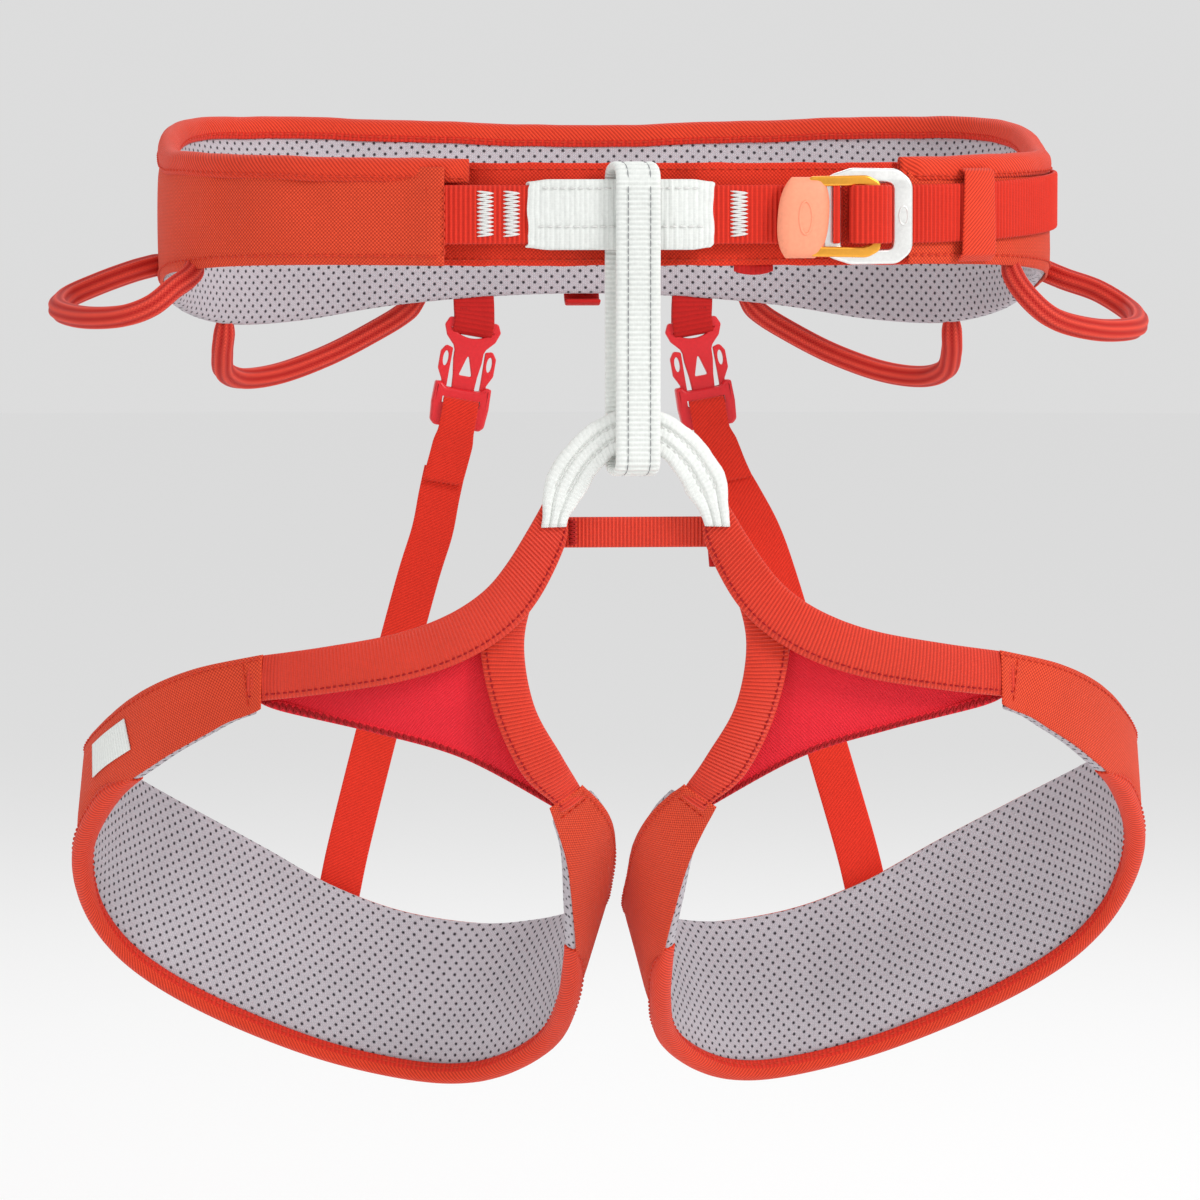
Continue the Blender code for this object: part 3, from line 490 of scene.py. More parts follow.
def inflate(outer, inner, room_out, room_in, cap):
    """Swells a sewn pad by cloth simulation, and gives back its two moved grids.

    Its borders are pinned, the room grids scale how far each face may move, and cap is the furthest.
    """
    rows, columns = outer.shape[:2]
    crown = np.sin(np.pi * np.linspace(0, 1, columns))[None, :, None] * 0.25 * cap
    out = unit(outer - inner)
    start = [outer + out * crown * room_out[..., None], inner - out * crown * room_in[..., None]]
    points = np.concatenate([part.reshape(-1, 3) for part in start])
    index, _, _ = quads(rows, columns)
    faces = [*index.tolist(), *(index[:, ::-1] + rows * columns).tolist()]
    rim = [i * columns for i in range(rows)] + [(rows - 1) * columns + j for j in range(1, columns)]
    rim += [i * columns + columns - 1 for i in range(rows - 2, -1, -1)] + list(range(columns - 2, 0, -1))
    for a, b in zip(rim, rim[1:] + rim[:1], strict=True):
        faces.append([b, a, a + rows * columns, b + rows * columns])
    pad = face_out(add_mesh("pad_simulation", points, faces))
    pins = pad.vertex_groups.new(name="seams")
    pins.add(rim + [k + rows * columns for k in rim], 1.0, "REPLACE")
    sim = pad.modifiers.new("cloth", "CLOTH")
    sim.settings.quality = 4
    sim.settings.mass = 0.15
    sim.settings.tension_stiffness = sim.settings.compression_stiffness = 12.0
    sim.settings.bending_stiffness = 0.4
    sim.settings.use_pressure = True
    sim.settings.uniform_pressure_force = SIM_PRESSURE
    sim.settings.vertex_group_mass = "seams"
    sim.settings.effector_weights.gravity = 0.0
    sim.collision_settings.use_collision = False
    scene = bpy.context.scene
    for step in range(1, SIM_FRAMES + 1):
        scene.frame_set(step)
    result = pad.evaluated_get(bpy.context.evaluated_depsgraph_get()).data
    moved = np.empty(len(result.vertices) * 3)
    result.vertices.foreach_get("co", moved)
    moved = moved.reshape(2, rows, columns, 3)
    scene.frame_set(1)
    bpy.data.objects.remove(pad)
    swelled = []
    for rest, now, room in zip((outer, inner), moved, (room_out, room_in), strict=True):
        shift = now - rest
        size = np.linalg.norm(shift, axis=2, keepdims=True)
        swelled.append(rest + shift * np.minimum(1.0, cap / np.maximum(size, 1e-9)) * room[..., None])
    return swelled


# Materials


class Look:
    """One procedural material."""

    def __init__(self, title, roughness, metallic=0.0, sheen=0.0, coat=0.0):
        self.made = bpy.data.materials.new(title)
        self.made.use_nodes = True
        self.tree = self.made.node_tree
        self.shader = self.tree.nodes["Principled BSDF"]
        self.shader.inputs["Roughness"].default_value = roughness
        self.shader.inputs["Metallic"].default_value = metallic
        self.shader.inputs["Sheen Weight"].default_value = sheen
        self.shader.inputs["Sheen Roughness"].default_value = 0.5
        self.shader.inputs["Specular IOR Level"].default_value = 0.2 if sheen else 0.5
        self.shader.inputs["Coat Weight"].default_value = coat
        self.shader.inputs["Coat Roughness"].default_value = 0.25
        self.roughness = roughness
        coordinates = self.tree.nodes.new("ShaderNodeTexCoord")
        self.object = coordinates.outputs["Object"]
        self.uv = coordinates.outputs["UV"]
        parts = self.tree.nodes.new("ShaderNodeSeparateXYZ")
        self.tree.links.new(self.uv, parts.inputs[0])
        self.u, self.v = parts.outputs[0], parts.outputs[1]

    def feed(self, socket, value):
        if isinstance(value, bpy.types.NodeSocket):
            self.tree.links.new(value, socket)
        elif isinstance(value, tuple):
            socket.default_value = (*value, 1.0)
        else:
            socket.default_value = value

    def calc(self, operation, *values):
        step = self.tree.nodes.new("ShaderNodeMath")
        step.operation = operation
        for socket, value in zip(step.inputs, values, strict=False):
            self.feed(socket, value)
        return step.outputs[0]

    def wave(self, value, pitch, shift=0.0):
        """A sine of this pitch, from 0 to 1."""
        turned = self.calc("MULTIPLY_ADD", value, 2 * math.pi / pitch, shift)
        return self.calc("MULTIPLY_ADD", self.calc("SINE", turned), 0.5, 0.5)

    def noise(self, scale, detail=3.0, source=None):
        step = self.tree.nodes.new("ShaderNodeTexNoise")
        step.inputs["Scale"].default_value = scale
        step.inputs["Detail"].default_value = detail
        self.tree.links.new(source or self.object, step.inputs["Vector"])
        return step.outputs[0]

    def mix(self, share, first, second):
        step = self.tree.nodes.new("ShaderNodeMix")
        step.data_type = "RGBA"
        for socket, value in ((0, share), (6, first), (7, second)):
            self.feed(step.inputs[socket], value)
        return step.outputs[2]

    def finish(self, colour, height=None, depth=0.0002, rough=None, strength=0.7):
        """Adds slow colour variation over the piece, the bump of the weave, and joins the shader."""
        patch = self.calc("MULTIPLY_ADD", self.noise(22.0, 4.0), 0.26, 0.86)
        fleck = self.calc("MULTIPLY_ADD", self.noise(900.0, 2.0), 0.20, 0.90)
        tone = self.tree.nodes.new("ShaderNodeHueSaturation")
        self.feed(tone.inputs["Color"], colour)
        self.feed(tone.inputs["Value"], self.calc("MULTIPLY", patch, fleck))
        self.tree.links.new(tone.outputs[0], self.shader.inputs["Base Color"])
        if rough is not None:
            self.feed(self.shader.inputs["Roughness"], rough)
        if height is not None:
            bump = self.tree.nodes.new("ShaderNodeBump")
            bump.inputs["Distance"].default_value = depth
            bump.inputs["Strength"].default_value = strength
            self.feed(bump.inputs["Height"], height)
            self.tree.links.new(bump.outputs[0], self.shader.inputs["Normal"])
        return self.made


def woven(title, light, dark, pitch=0.0013):
    """A coarse plain weave: rows of small raised squares with dark gaps."""
    look = Look(title, 0.82, sheen=0.06)
    over, under = look.wave(look.u, pitch), look.wave(look.v, pitch)
    high = look.calc("MULTIPLY", over, under)
    other = look.calc("MULTIPLY", look.calc("SUBTRACT", 1.0, over), look.calc("SUBTRACT", 1.0, under))
    height = look.calc("POWER", look.calc("MAXIMUM", high, look.calc("MULTIPLY", other, 0.85)), 0.6)
    return look.finish(look.mix(height, dark, light), height, 0.00035)


def twill(title, light, dark, pitch=0.0011, slope=1.0):
    """Diagonal ridges crossed by fine yarns."""
    look = Look(title, 0.78, sheen=0.10)
    slanted = look.calc("MULTIPLY_ADD", look.v, slope, look.u)
    ridge = look.wave(slanted, pitch)
    yarn = look.wave(look.calc("MULTIPLY_ADD", look.v, -slope, look.u), pitch * 0.5)
    height = look.calc("MULTIPLY_ADD", yarn, 0.25, look.calc("MULTIPLY", ridge, 0.75))
    return look.finish(look.mix(look.calc("POWER", height, 0.6), dark, light), height, 0.00030)


def ribbed(title, light, dark, pitch=RIB_PITCH, fade=0.55, roughness=0.62, specular=0.2):
    """Flat webbing: fine yarns along it that show where the ribs rise."""
    look = Look(title, roughness, sheen=0.06)
    look.shader.inputs["Specular IOR Level"].default_value = specular
    cross = look.wave(look.u, pitch, math.pi / 2)
    fine = look.calc("MULTIPLY", look.wave(look.v, 0.00055), look.wave(look.u, pitch / 2))
    height = look.calc("MULTIPLY_ADD", fine, 0.4, look.calc("MULTIPLY", cross, 0.6))
    shade = look.calc("MULTIPLY_ADD", height, fade, 1.0 - fade)
    return look.finish(look.mix(shade, dark, light), height, 0.00018)


def perforated(title, light, dark, hole=HOLE, across=0.0042, along=0.0042, radius=0.00050):
    """Spacer mesh: staggered dark holes in a fine knit."""
    look = Look(title, 0.9, sheen=0.06)
    near = []
    for shift in (0.0, 0.5):
        gaps = []
        for value, pitch in ((look.u, along), (look.v, across)):
            cell = look.calc("FRACT", look.calc("MULTIPLY_ADD", value, 1 / pitch, shift + 100.0))
            gaps.append(look.calc("MULTIPLY", look.calc("SUBTRACT", cell, 0.5), pitch))
        squares = [look.calc("POWER", gap, 2.0) for gap in gaps]
        near.append(look.calc("SQRT", look.calc("ADD", *squares)))
    distance = look.calc("MINIMUM", *near)
    body = look.calc("DIVIDE", look.calc("SUBTRACT", distance, radius * 0.7), radius * 0.8)
    body = look.calc("MINIMUM", look.calc("MAXIMUM", body, 0.0), 1.0)
    slanted = look.wave(look.calc("ADD", look.u, look.v), 0.0009)
    knit = look.calc("MULTIPLY", look.wave(look.u, 0.0007), slanted)
    cloth_colour = look.mix(look.calc("MULTIPLY_ADD", knit, 0.7, 0.3), dark, light)
    height = look.calc("ADD", body, look.calc("MULTIPLY", knit, 0.25))
    return look.finish(look.mix(body, hole, cloth_colour), height, 0.00045)


def braided(title, light, dark, pitch=0.0022):
    """A braided sheath: lengthwise ridges hatched by short slanted yarns."""
    look = Look(title, 0.66, sheen=0.06)
    cross = look.wave(look.v, 2 * math.pi * GEAR_R / 8)
    off_ridge = look.calc("ABSOLUTE", look.calc("SUBTRACT", cross, 0.5))
    slanted = look.calc("MULTIPLY_ADD", off_ridge, pitch, look.u)
    yarn = look.wave(slanted, pitch * 0.55)
    height = look.calc("MULTIPLY_ADD", yarn, 0.4, look.calc("MULTIPLY", cross, 0.6))
    return look.finish(look.mix(look.calc("POWER", height, 1.3), dark, light), height, 0.00040)


def moulded(title, colour, roughness=0.38, coat=0.0):
    """Moulded plastic or rubber: a faint grain, and scuffs that change its gloss."""
    look = Look(title, roughness, coat=coat)
    grain = look.noise(2600.0, 2.0)
    scuff = look.calc("MULTIPLY_ADD", look.noise(130.0, 5.0), 0.25, roughness - 0.10)
    lighter = tuple(min(1.0, part * 1.12 + 0.01) for part in colour)
    return look.finish(look.mix(look.noise(60.0), colour, lighter), grain, 0.00005, scuff, 0.4)


def metal(title, colour, roughness):
    """Brushed and anodised aluminium with worn, brighter patches."""
    look = Look(title, roughness, metallic=1.0)
    stretched = look.tree.nodes.new("ShaderNodeMapping")
    stretched.inputs["Scale"].default_value = (60.0, 60.0, 2400.0)
    look.tree.links.new(look.object, stretched.inputs["Vector"])
    brush = look.noise(1.0, 2.0, stretched.outputs[0])
    rough = look.calc("MULTIPLY_ADD", look.noise(90.0, 5.0), 0.22, roughness - 0.08)
    worn = tuple(min(1.0, part * 1.15 + 0.03) for part in colour)
    return look.finish(look.mix(look.noise(75.0, 4.0), colour, worn), brush, 0.00003, rough, 0.35)


def thread_look(title, colour):
    """Matt sewing thread."""
    look = Look(title, 0.6, sheen=0.06)
    darker = tuple(part * 0.72 for part in colour)
    return look.finish(look.mix(look.noise(1500.0, 1.0), darker, colour), look.noise(3000.0, 1.0), 0.00008)


SHELL_LOOK = woven("shell_weave", ORANGE, ORANGE_DARK)
PANEL_LOOK = woven("panel_weave", (0.92, 0.060, 0.022), (0.50, 0.012, 0.006))
BINDING_LOOK = twill("binding_twill", BINDING, BINDING_DARK, 0.0015)
ELASTIC_LOOK = twill("elastic_twill", RED, (0.60, 0.020, 0.010), 0.0013, 0.8)
STRAP_LOOK = ribbed("red_ribbed_webbing", RED, RED_DARK)
LEG_STRAP_LOOK = ribbed("leg_ribbed_webbing", LEG_RED, LEG_RED_DARK, LEG_RIB_PITCH, 0.65, 0.50, 0.35)
DEEP_LOOK = ribbed("dark_red_webbing", DEEP, DEEP_DARK)
WHITE_LOOK = ribbed("white_webbing", WHITE, WHITE_DARK, BELAY_RIB_PITCH, 0.35)
TAPE_LOOK = ribbed("white_tape", WHITE, WHITE_DARK, fade=0.15)
MESH_LOOK = perforated("perforated_spacer_mesh", GREY, GREY_DARK)
GUSSET_LOOK = perforated("gusset_mesh", PINK, PINK_DARK, PINK_DARK, 0.0010, 0.0012, 0.00022)
BRAID_LOOK = braided("braided_sheath", (0.88, 0.085, 0.050), (0.42, 0.006, 0.005))
PLASTIC_LOOK = moulded("red_moulded_plastic", PLASTIC)
TAB_LOOK = moulded("soft_tab_rubber", PEACH, 0.55)
GOLD_LOOK = metal("gold_anodised_aluminium", GOLD, 0.28)
SILVER_LOOK = metal("silver_aluminium", SILVER, 0.34)
ORANGE_THREAD = thread_look("orange_thread", (0.74, 0.050, 0.018))
WHITE_THREAD = thread_look("white_thread", (0.88, 0.88, 0.86))
GREY_THREAD = thread_look("grey_thread", (0.30, 0.31, 0.32))
RED_THREAD = thread_look("red_thread", (0.50, 0.012, 0.010))
OVERLOCK_THREAD = thread_look("overlock_thread", (0.42, 0.006, 0.010))


# The waist ring


def ring_line():
    """Arc lengths, X and Y along the belt's middle line, from back to back; 0 is at the front."""
    angles = np.linspace(-math.pi, math.pi, 2881)
    share = 2 / RING_POWER
    x = RING_HALF_WIDTH * np.sign(np.sin(angles)) * np.abs(np.sin(angles)) ** share
    y = -RING_HALF_DEPTH * np.sign(np.cos(angles)) * np.abs(np.cos(angles)) ** share
    run = np.concatenate([[0], np.cumsum(np.hypot(np.diff(x), np.diff(y)))])
    return run - np.interp(0.0, angles, run), x, y


RING_S, RING_X, RING_Y = ring_line()
RING_GIRTH = RING_S[-1] - RING_S[0]


def ring_s(x):
    """The arc length at which the front half of the ring has this X."""
    front = (RING_Y < 0.0) | (np.abs(RING_X) >= RING_HALF_WIDTH * 0.9999)
    return float(np.interp(x, RING_X[front], RING_S[front]))


def wrapped(s):
    """The same arc length within half a girth of the front."""
    return (np.asarray(s, float) + RING_GIRTH / 2) % RING_GIRTH - RING_GIRTH / 2


def ring(s, out, z):
    """Points on the ring at arc lengths s, moved outwards by out, at heights z."""
    s, out, z = np.broadcast_arrays(np.asarray(s, float), out, z)
    x, y = (np.interp(wrapped(s), RING_S, line) for line in (RING_X, RING_Y))
    dx, dy = (
        np.interp(wrapped(s + 0.004), RING_S, line) - np.interp(wrapped(s - 0.004), RING_S, line)
        for line in (RING_X, RING_Y)
    )
    size = np.hypot(dx, dy)
    return np.stack([x + out * dy / size, y - out * dx / size, z], axis=-1)


def outwards(s):
    """Directions away from the ring at arc lengths s."""
    return ring(s, 1.0, 0.0) - ring(s, 0.0, 0.0)


# Heights of the belt's edges: degrees from the front, and height
TOP_STATIONS = (
    (0, 0.0175), (60, 0.0195), (85, 0.0215), (98, 0.0262), (112, 0.0302), (135, 0.0318), (160, 0.0300),
    (180, 0.0285),
)
LOW_STATIONS = (
    (0, -0.0180), (58, -0.0190), (80, -0.0235), (97, -0.0290), (114, -0.0375), (130, -0.0428), (141, -0.0418),
    (154, -0.0368), (166, -0.0338), (180, -0.0325),
)


def height_at(s, stations):
    """An edge height at arc length s, the same on both sides: a smooth curve through (degrees, height)."""
    point = ring(s, 0.0, 0.0)
    turn = np.degrees(np.arctan2(np.abs(point[..., 0]) / RING_HALF_WIDTH, -point[..., 1] / RING_HALF_DEPTH))
    angles, heights = (np.array(line) for line in zip(*stations, strict=True))
    slopes = np.gradient(heights, angles)
    slopes[0] = slopes[-1] = 0.0
    i = np.clip(np.searchsorted(angles, turn) - 1, 0, len(angles) - 2)
    span = angles[i + 1] - angles[i]
    t = (turn - angles[i]) / span
    rise = (3 * t**2 - 2 * t**3) * (heights[i + 1] - heights[i])
    bend = (t - 2 * t**2 + t**3) * slopes[i] + (t**3 - t**2) * slopes[i + 1]
    return heights[i] + rise + bend * span


PAD_S0 = ring_s(PAD_RIGHT_END_X)
PAD_S1 = RING_GIRTH + ring_s(PAD_LEFT_END_X)
SHELL_END_S = PAD_S1 - 0.0068


# Waist belt


TAIL_START, TAIL_END = ring_s(0.0985), ring_s(0.1500) + 0.0480
TAIL_RISE = 0.0045
LINING_GAP = 0.0002
PIPING_T, BINDING_LIFT = 0.0009, 0.0006


def tail_middle(s):
    """The height of the middle of the webbing's tail, which rises towards its end."""
    return STRAP_Z + TAIL_RISE * ease((s - TAIL_START) / (TAIL_END - TAIL_START))


def foam_section(thickness, pinch):
    """How deep the foam's middle lies under the shell, and its half thickness there."""
    return (thickness + SHELL_T + LINING_GAP) / 2, (thickness - SHELL_T - LINING_GAP) / 2 * pinch


def make_waist_pad():
    """Foam with its mesh lining, swelled by simulation, the woven shell over it and the folded binding."""
    s = np.linspace(PAD_S0 - 0.0010, SHELL_END_S, 230)[:, None]
    top, low = height_at(s, TOP_STATIONS) - 0.0022, height_at(s, LOW_STATIONS)
    share = np.linspace(0, 1, 19)[None, :]
    z = low + (top - low) * share
    pinch = 0.45 + 0.55 * ease((1 - share) / 0.24) * ease((share + 0.10) / 0.20)
    middle, half = foam_section(PAD_T, pinch)
    middle = -middle
    outer, inner = ring(s, middle + half, z), ring(s, middle - half, z)
    from_end = np.minimum(s - s[0], s[-1] - s)
    free = ease(from_end / 0.02) * np.ones_like(share)
    under_tail = ease((s - ring_s(0.1500) - 0.055) / 0.02)
    low_side = ease((0.40 - share) / 0.2) * 0.6
    outer, inner = inflate(outer, inner, free * np.maximum(under_tail, low_side), free, WAIST_SWELL)
    pad = layer("waist_padding", outer[1:-3], inner[1:-3], [MESH_LOOK])
    subdivide(pad)
    place(pad, "waist_belt", "mesh_lining", "waist_foam", "waist_lining")
    lift = 0.0036 * ease(1 - (s[-1] - s) / 0.018) * np.ones_like(share)
    pucker = 0.00022 * wander(s, 3, 0.011) * (ease((share - 0.75) / 0.2) + ease((0.15 - share) / 0.12))
    wrinkle = 0.0
    for at, slant, width, depth in SHELL_WRINKLES:
        across = (s - (PAD_S1 + at + slant * (1 - share))) / width
        wrinkle = wrinkle + depth * np.exp(-(across**2)) * ease((share - 0.25) / 0.4)
    normal = outwards(s) * np.ones_like(share)[..., None]
    face = outer + normal * (lift + pucker - wrinkle + LINING_GAP)[..., None]
    face[:, 0, 2] += 0.0018 * ease((from_end[:, 0] - 0.10) / 0.06) - 0.0004
    shell = layer("waist_shell_cloth", face + normal * SHELL_T, face, [SHELL_LOOK])
    subdivide(shell)
    place(shell, "waist_belt", "shell_cloth", "waist_shell")
    make_waist_binding()
    top_face = face + normal * SHELL_T
    hem = (top_face[:, 1] + top_face[:, 2]) / 2
    on_shell = (ORANGE_THREAD, "waist_belt", "shell_cloth")
    sew("waist_shell_hem_stitches", hem, normal[:, 1], *on_shell, 0.0002)
    sew("waist_shell_end_stitches", top_face[-1, 1:-3], normal[-1, 1:-3], *on_shell, 0.0001)


BINDING_SECTION = (
    (-0.0008, -0.0074), (-0.0003, -0.0056), (-0.0002, -0.0036), (-0.0007, -0.0014), (-0.0021, -0.0001),
    (-0.0037, 0.0003), (-0.0053, -0.0001), (-0.0066, -0.0014), (-0.0070, -0.0036), (-0.0067, -0.0055),
    (-0.0062, -0.0072),
)
# Soft creases of the shell: place from the belt's left end, slant, width and depth
SHELL_WRINKLES = (
    (-0.0560, 0.0160, 0.0046, 0.0010), (-0.0450, 0.0120, 0.0036, 0.0008), (-0.0640, 0.0180, 0.0050, 0.0007),
    (-0.0340, 0.0060, 0.0040, 0.0005), (-0.0900, 0.0060, 0.0060, 0.0006),
)


def make_waist_binding():
    """The tape folded over the belt's upper edge, with its two rows of stitches."""
    s = np.linspace(PAD_S0 - 0.0030, PAD_S1 + 0.0010, 520)
    section = spline([(0.0, *p) for p in BINDING_SECTION], 24)[:, 1:]
    flat = 1 - 0.72 * ease(1 - np.minimum(s - s[0], s[-1] - s) / 0.0075)
    uneven = flat * (1 + 0.06 * wander(s, 5, 0.035))
    middle = section[:, 0].mean()
    out = middle + (section[None, :, 0] - middle) * uneven[:, None]
    z = height_at(s, TOP_STATIONS)[:, None] + section[None, :, 1]
    z = z + 0.0002 * wander(s, 6, 0.05)[:, None]
    grid = ring(s[:, None], out, z)
    tape = cloth("waist_binding_tape", grid, PIPING_T, BINDING_LOOK, smooth=0, edge_look=STRAP_LOOK, edge=3)
    place(tape, "waist_belt", "binding_tape", "waist_top_binding")
    for face, column, way in (("outer", 2, 1), ("inner", -3, -1)):
        sew(f"waist_binding_stitches_{face}", grid[:, column], way * outwards(s), ORANGE_THREAD,
            "waist_belt", "binding_tape", BINDING_LIFT)


# The front panel hangs behind the webbing, and further forward between the padding's ends
PANEL_OUT, PANEL_FORWARD, PANEL_T = -(PAD_T + 0.0008), 0.0036, 0.0012
PANEL_Z0, PANEL_Z1, PANEL_LAP, PANEL_SEAM = -0.0180, 0.0170, 0.0130, 0.0020
# Bar tacks: place across the belt and width; and the foot and height of all of them
BAR_TACKS = (("outer", -0.0510, 0.0056), ("middle", -0.0422, 0.0056), ("right", 0.0347, 0.0060))
TACK_Z, TACK_HEIGHT = -0.0078, 0.0152
STRAP_END_X = 0.0735


def make_waist_front():
    """The front panel, the webbing across it with its bar tacks, the sleeve and the small tab."""
    left, right = ring_s(PAD_LEFT_END_X), ring_s(PAD_RIGHT_END_X)
    s = np.linspace(left - PANEL_LAP, right + 0.0050, 160)
    open_to = ease((s - left) / 0.012) * ease((right - s) / 0.012)
    open_to = open_to * ease((np.abs(s - ring_s(LEG_CENTRE_X)) - 0.0120) / 0.012)
    out = PANEL_OUT + PANEL_FORWARD * open_to
    edges = [ring(s, out, z + 0.0002 * wander(s, seed, 0.03)) for seed, z in ((1, PANEL_Z0), (2, PANEL_Z1))]
    panel = band("waist_front_panel_cloth", *edges, PANEL_T, PANEL_LOOK, inner=14)
    place(panel, "waist_belt", "shell_cloth", "waist_front_panel")
    for word, z in (("low", PANEL_Z0 + PANEL_SEAM), ("high", PANEL_Z1 - PANEL_SEAM)):
        sew(f"front_panel_stitches_{word}", ring(s, out + PANEL_T / 2, z), outwards(s), ORANGE_THREAD,
            "waist_belt", "shell_cloth", 0.0001)
    s = np.linspace(left - PANEL_LAP, ring_s(STRAP_END_X), 400)
    edges = [ring(s, STRAP_D, STRAP_Z + way * STRAP_W / 2) for way in (-1, 1)]
    strap = band("waist_webbing", *edges, STRAP_T, STRAP_LOOK, pitch=RIB_PITCH)
    place(strap, "waist_belt", "red_webbing", "waist_strap")
    tack_out = STRAP_D + STRAP_T / 2 + 0.0002
    for word, x, width in BAR_TACKS:
        s0 = ring_s(x)
        corner = ring(s0, tack_out, TACK_Z)
        along = ring(s0 + width, tack_out, TACK_Z) - corner
        across = np.array((0, 0, TACK_HEIGHT))
        tack = zigzag(f"bar_tack_{word}", corner, along, across, outwards(s0), 22, WHITE_THREAD)
        place(tack, "waist_belt", "white_webbing")
    make_sleeve()
    s = np.linspace(ring_s(0.0370), ring_s(0.0505), 30)
    lobe = 0.0022 * np.sin(np.pi * np.linspace(0.06, 0.94, 30)) ** 0.5
    out = PANEL_OUT + PANEL_FORWARD
    tab = band("front_panel_tab", ring(s, out, -0.0190 - lobe), ring(s, out, -0.0178), 0.0016, DEEP_LOOK)
    place(tab, "waist_belt", "dark_webbing")


# Place of the sleeve's middle along the belt, half its length, and half its thickness and height
SLEEVE_S, SLEEVE_REACH, SLEEVE_HALF_T, SLEEVE_HALF_H = -0.0026, 0.0315, 0.0017, 0.0116
SLEEVE_GATHER = 0.0075


def make_sleeve():
    """The white flat tube on the webbing, gathered at its ends, with a seam along its lower third."""
    s = np.linspace(-SLEEVE_REACH, SLEEVE_REACH, 120)[:, None]
    turn = np.linspace(0, 2 * np.pi, 56, endpoint=False)[None, :]
    ends = ease((np.abs(s) - (SLEEVE_REACH - SLEEVE_GATHER)) / SLEEVE_GATHER)
    folds = 0.00032 * wander(turn * 0.010 + s * 0.06, 7, 0.013) * (0.35 + ends)
    folds = folds + 0.00016 * wander(s + turn * 0.0004, 8, 0.0036)
    out = SLEEVE_HALF_T * np.sign(np.cos(turn)) * np.abs(np.cos(turn)) ** 0.45 * (1 - 0.10 * ends) + folds
    z = (SLEEVE_HALF_H - 0.0008 * ends) * np.sign(np.sin(turn)) * np.abs(np.sin(turn)) ** 0.75
    fold = 0.0004 * np.exp(-(((z + 0.0040) / 0.0008) ** 2)) * (np.cos(turn) > 0)
    s = s + SLEEVE_S + 0.0008 * wander(turn * 0.02, 9, 0.05) * ends
    grid = ring(s, STRAP_D + out - fold, STRAP_Z + z)
    sleeve = cloth("tie_in_sleeve_cloth", grid, 0.0008, WHITE_LOOK, wrap_across=True)
    place(sleeve, "waist_belt", "white_webbing", "tie_in_sleeve")
    for word, z, reach in (("seam", -0.0045, 0.0295), ("top", 0.0085, 0.0280)):
        s = SLEEVE_S + np.linspace(-reach, reach, 80)
        sew(f"sleeve_{word}_stitches", ring(s, STRAP_D + 0.0022, z), outwards(s), WHITE_THREAD,
            "waist_belt", "white_webbing")


# The keeper's section: height off the belt's middle and place outwards, from its upper end to its lower one
KEEPER_SECTION = (
    (0.0148, 0.0010), (0.0138, 0.0034), (0.0118, 0.0039), (-0.0126, 0.0039), (-0.0146, 0.0034),
    (-0.0170, 0.0010),
)
KEEPER_X0, KEEPER_X1, KEEPER_HALF = 0.1140, 0.1275, 0.0063


def make_tail():
    """The webbing's tail along the belt, with its turned end, and the keeper loop round it."""
    s = np.linspace(TAIL_START - 0.0035, TAIL_END, 400)
    middle = tail_middle(s)
    edges = [ring(s, STRAP_D, middle + way * STRAP_W / 2) for way in (-1, 1)]
    tail = band("waist_webbing_tail", *edges, STRAP_T, STRAP_LOOK, pitch=RIB_PITCH)
    place(tail, "waist_belt", "red_webbing", "waist_strap_tail")
    fold = [ring(s[-9:], STRAP_D + 0.0012, middle[-9:] + way * STRAP_W / 2) for way in (-1, 1)]
    place(band("waist_webbing_tail_hem", *fold, 0.0006, STRAP_LOOK), "waist_belt", "red_webbing")
    line = spline([(0.0, out, z) for z, out in KEEPER_SECTION], 30)
    spread = np.linspace(-1, 1, 14)[:, None]
    around = np.linspace(0, 1, len(line))[None, :]
    s = (ring_s(KEEPER_X0) + ring_s(KEEPER_X1)) / 2 + spread * (KEEPER_HALF + 0.0012 * around)
    grid = ring(s, line[None, :, 1] + 0.0003 * (1 - spread**2), line[None, :, 2])
    keeper = cloth("strap_keeper_loop", grid, PIPING_T, BINDING_LOOK)
    place(keeper, "waist_belt", "red_webbing", "strap_keeper")


# The slide buckle


PLATE_TILT = math.radians(7)
GOLD_OUT, SILVER_OUT, MARK_OUT = 0.0079, 0.0054, 0.0066
# Upper halves of the frames' outlines and holes: x, y and corner radius
GOLD_OUTLINE = ((-0.0216, 0.0136, 0.0020), (-0.0010, 0.0140, 0.0060), (0.0036, 0.0116, 0.0032))
GOLD_HOLE = ((-0.0180, 0.0102, 0.0012), (-0.0030, 0.0104, 0.0030), (0.0006, 0.0094, 0.0020))
SILVER_OUTLINE = (
    (-0.0158, 0.0132, 0.0060), (-0.0060, 0.0164, 0.0060), (0.0104, 0.0162, 0.0060), (0.0157, 0.0120, 0.0060),
)
SILVER_HOLE = ((-0.0094, 0.0112, 0.0022), (0.0087, 0.0112, 0.0022))


def upright(half):
    """The rounded outline made of an upper half and its mirror image below."""
    return rounded([*half, *((x, -y, r) for x, y, r in half[::-1])])


def buckle_stand(out, tilt=0.0):
    """Axes of the buckle: X along the belt, Y up, Z outwards; out is the height of its middle."""
    s = ring_s(BUCKLE_X)
    along = Vector(ring(s + 0.01, 0, 0) - ring(s - 0.01, 0, 0)).normalized()
    up = Vector((0.0, 0.0, 1.0))
    turn = Matrix((along, up, along.cross(up))).transposed().to_4x4()
    return Matrix.Translation(Vector(ring(s, out, BUCKLE_Z))) @ turn @ Matrix.Rotation(-tilt, 4, "Y")


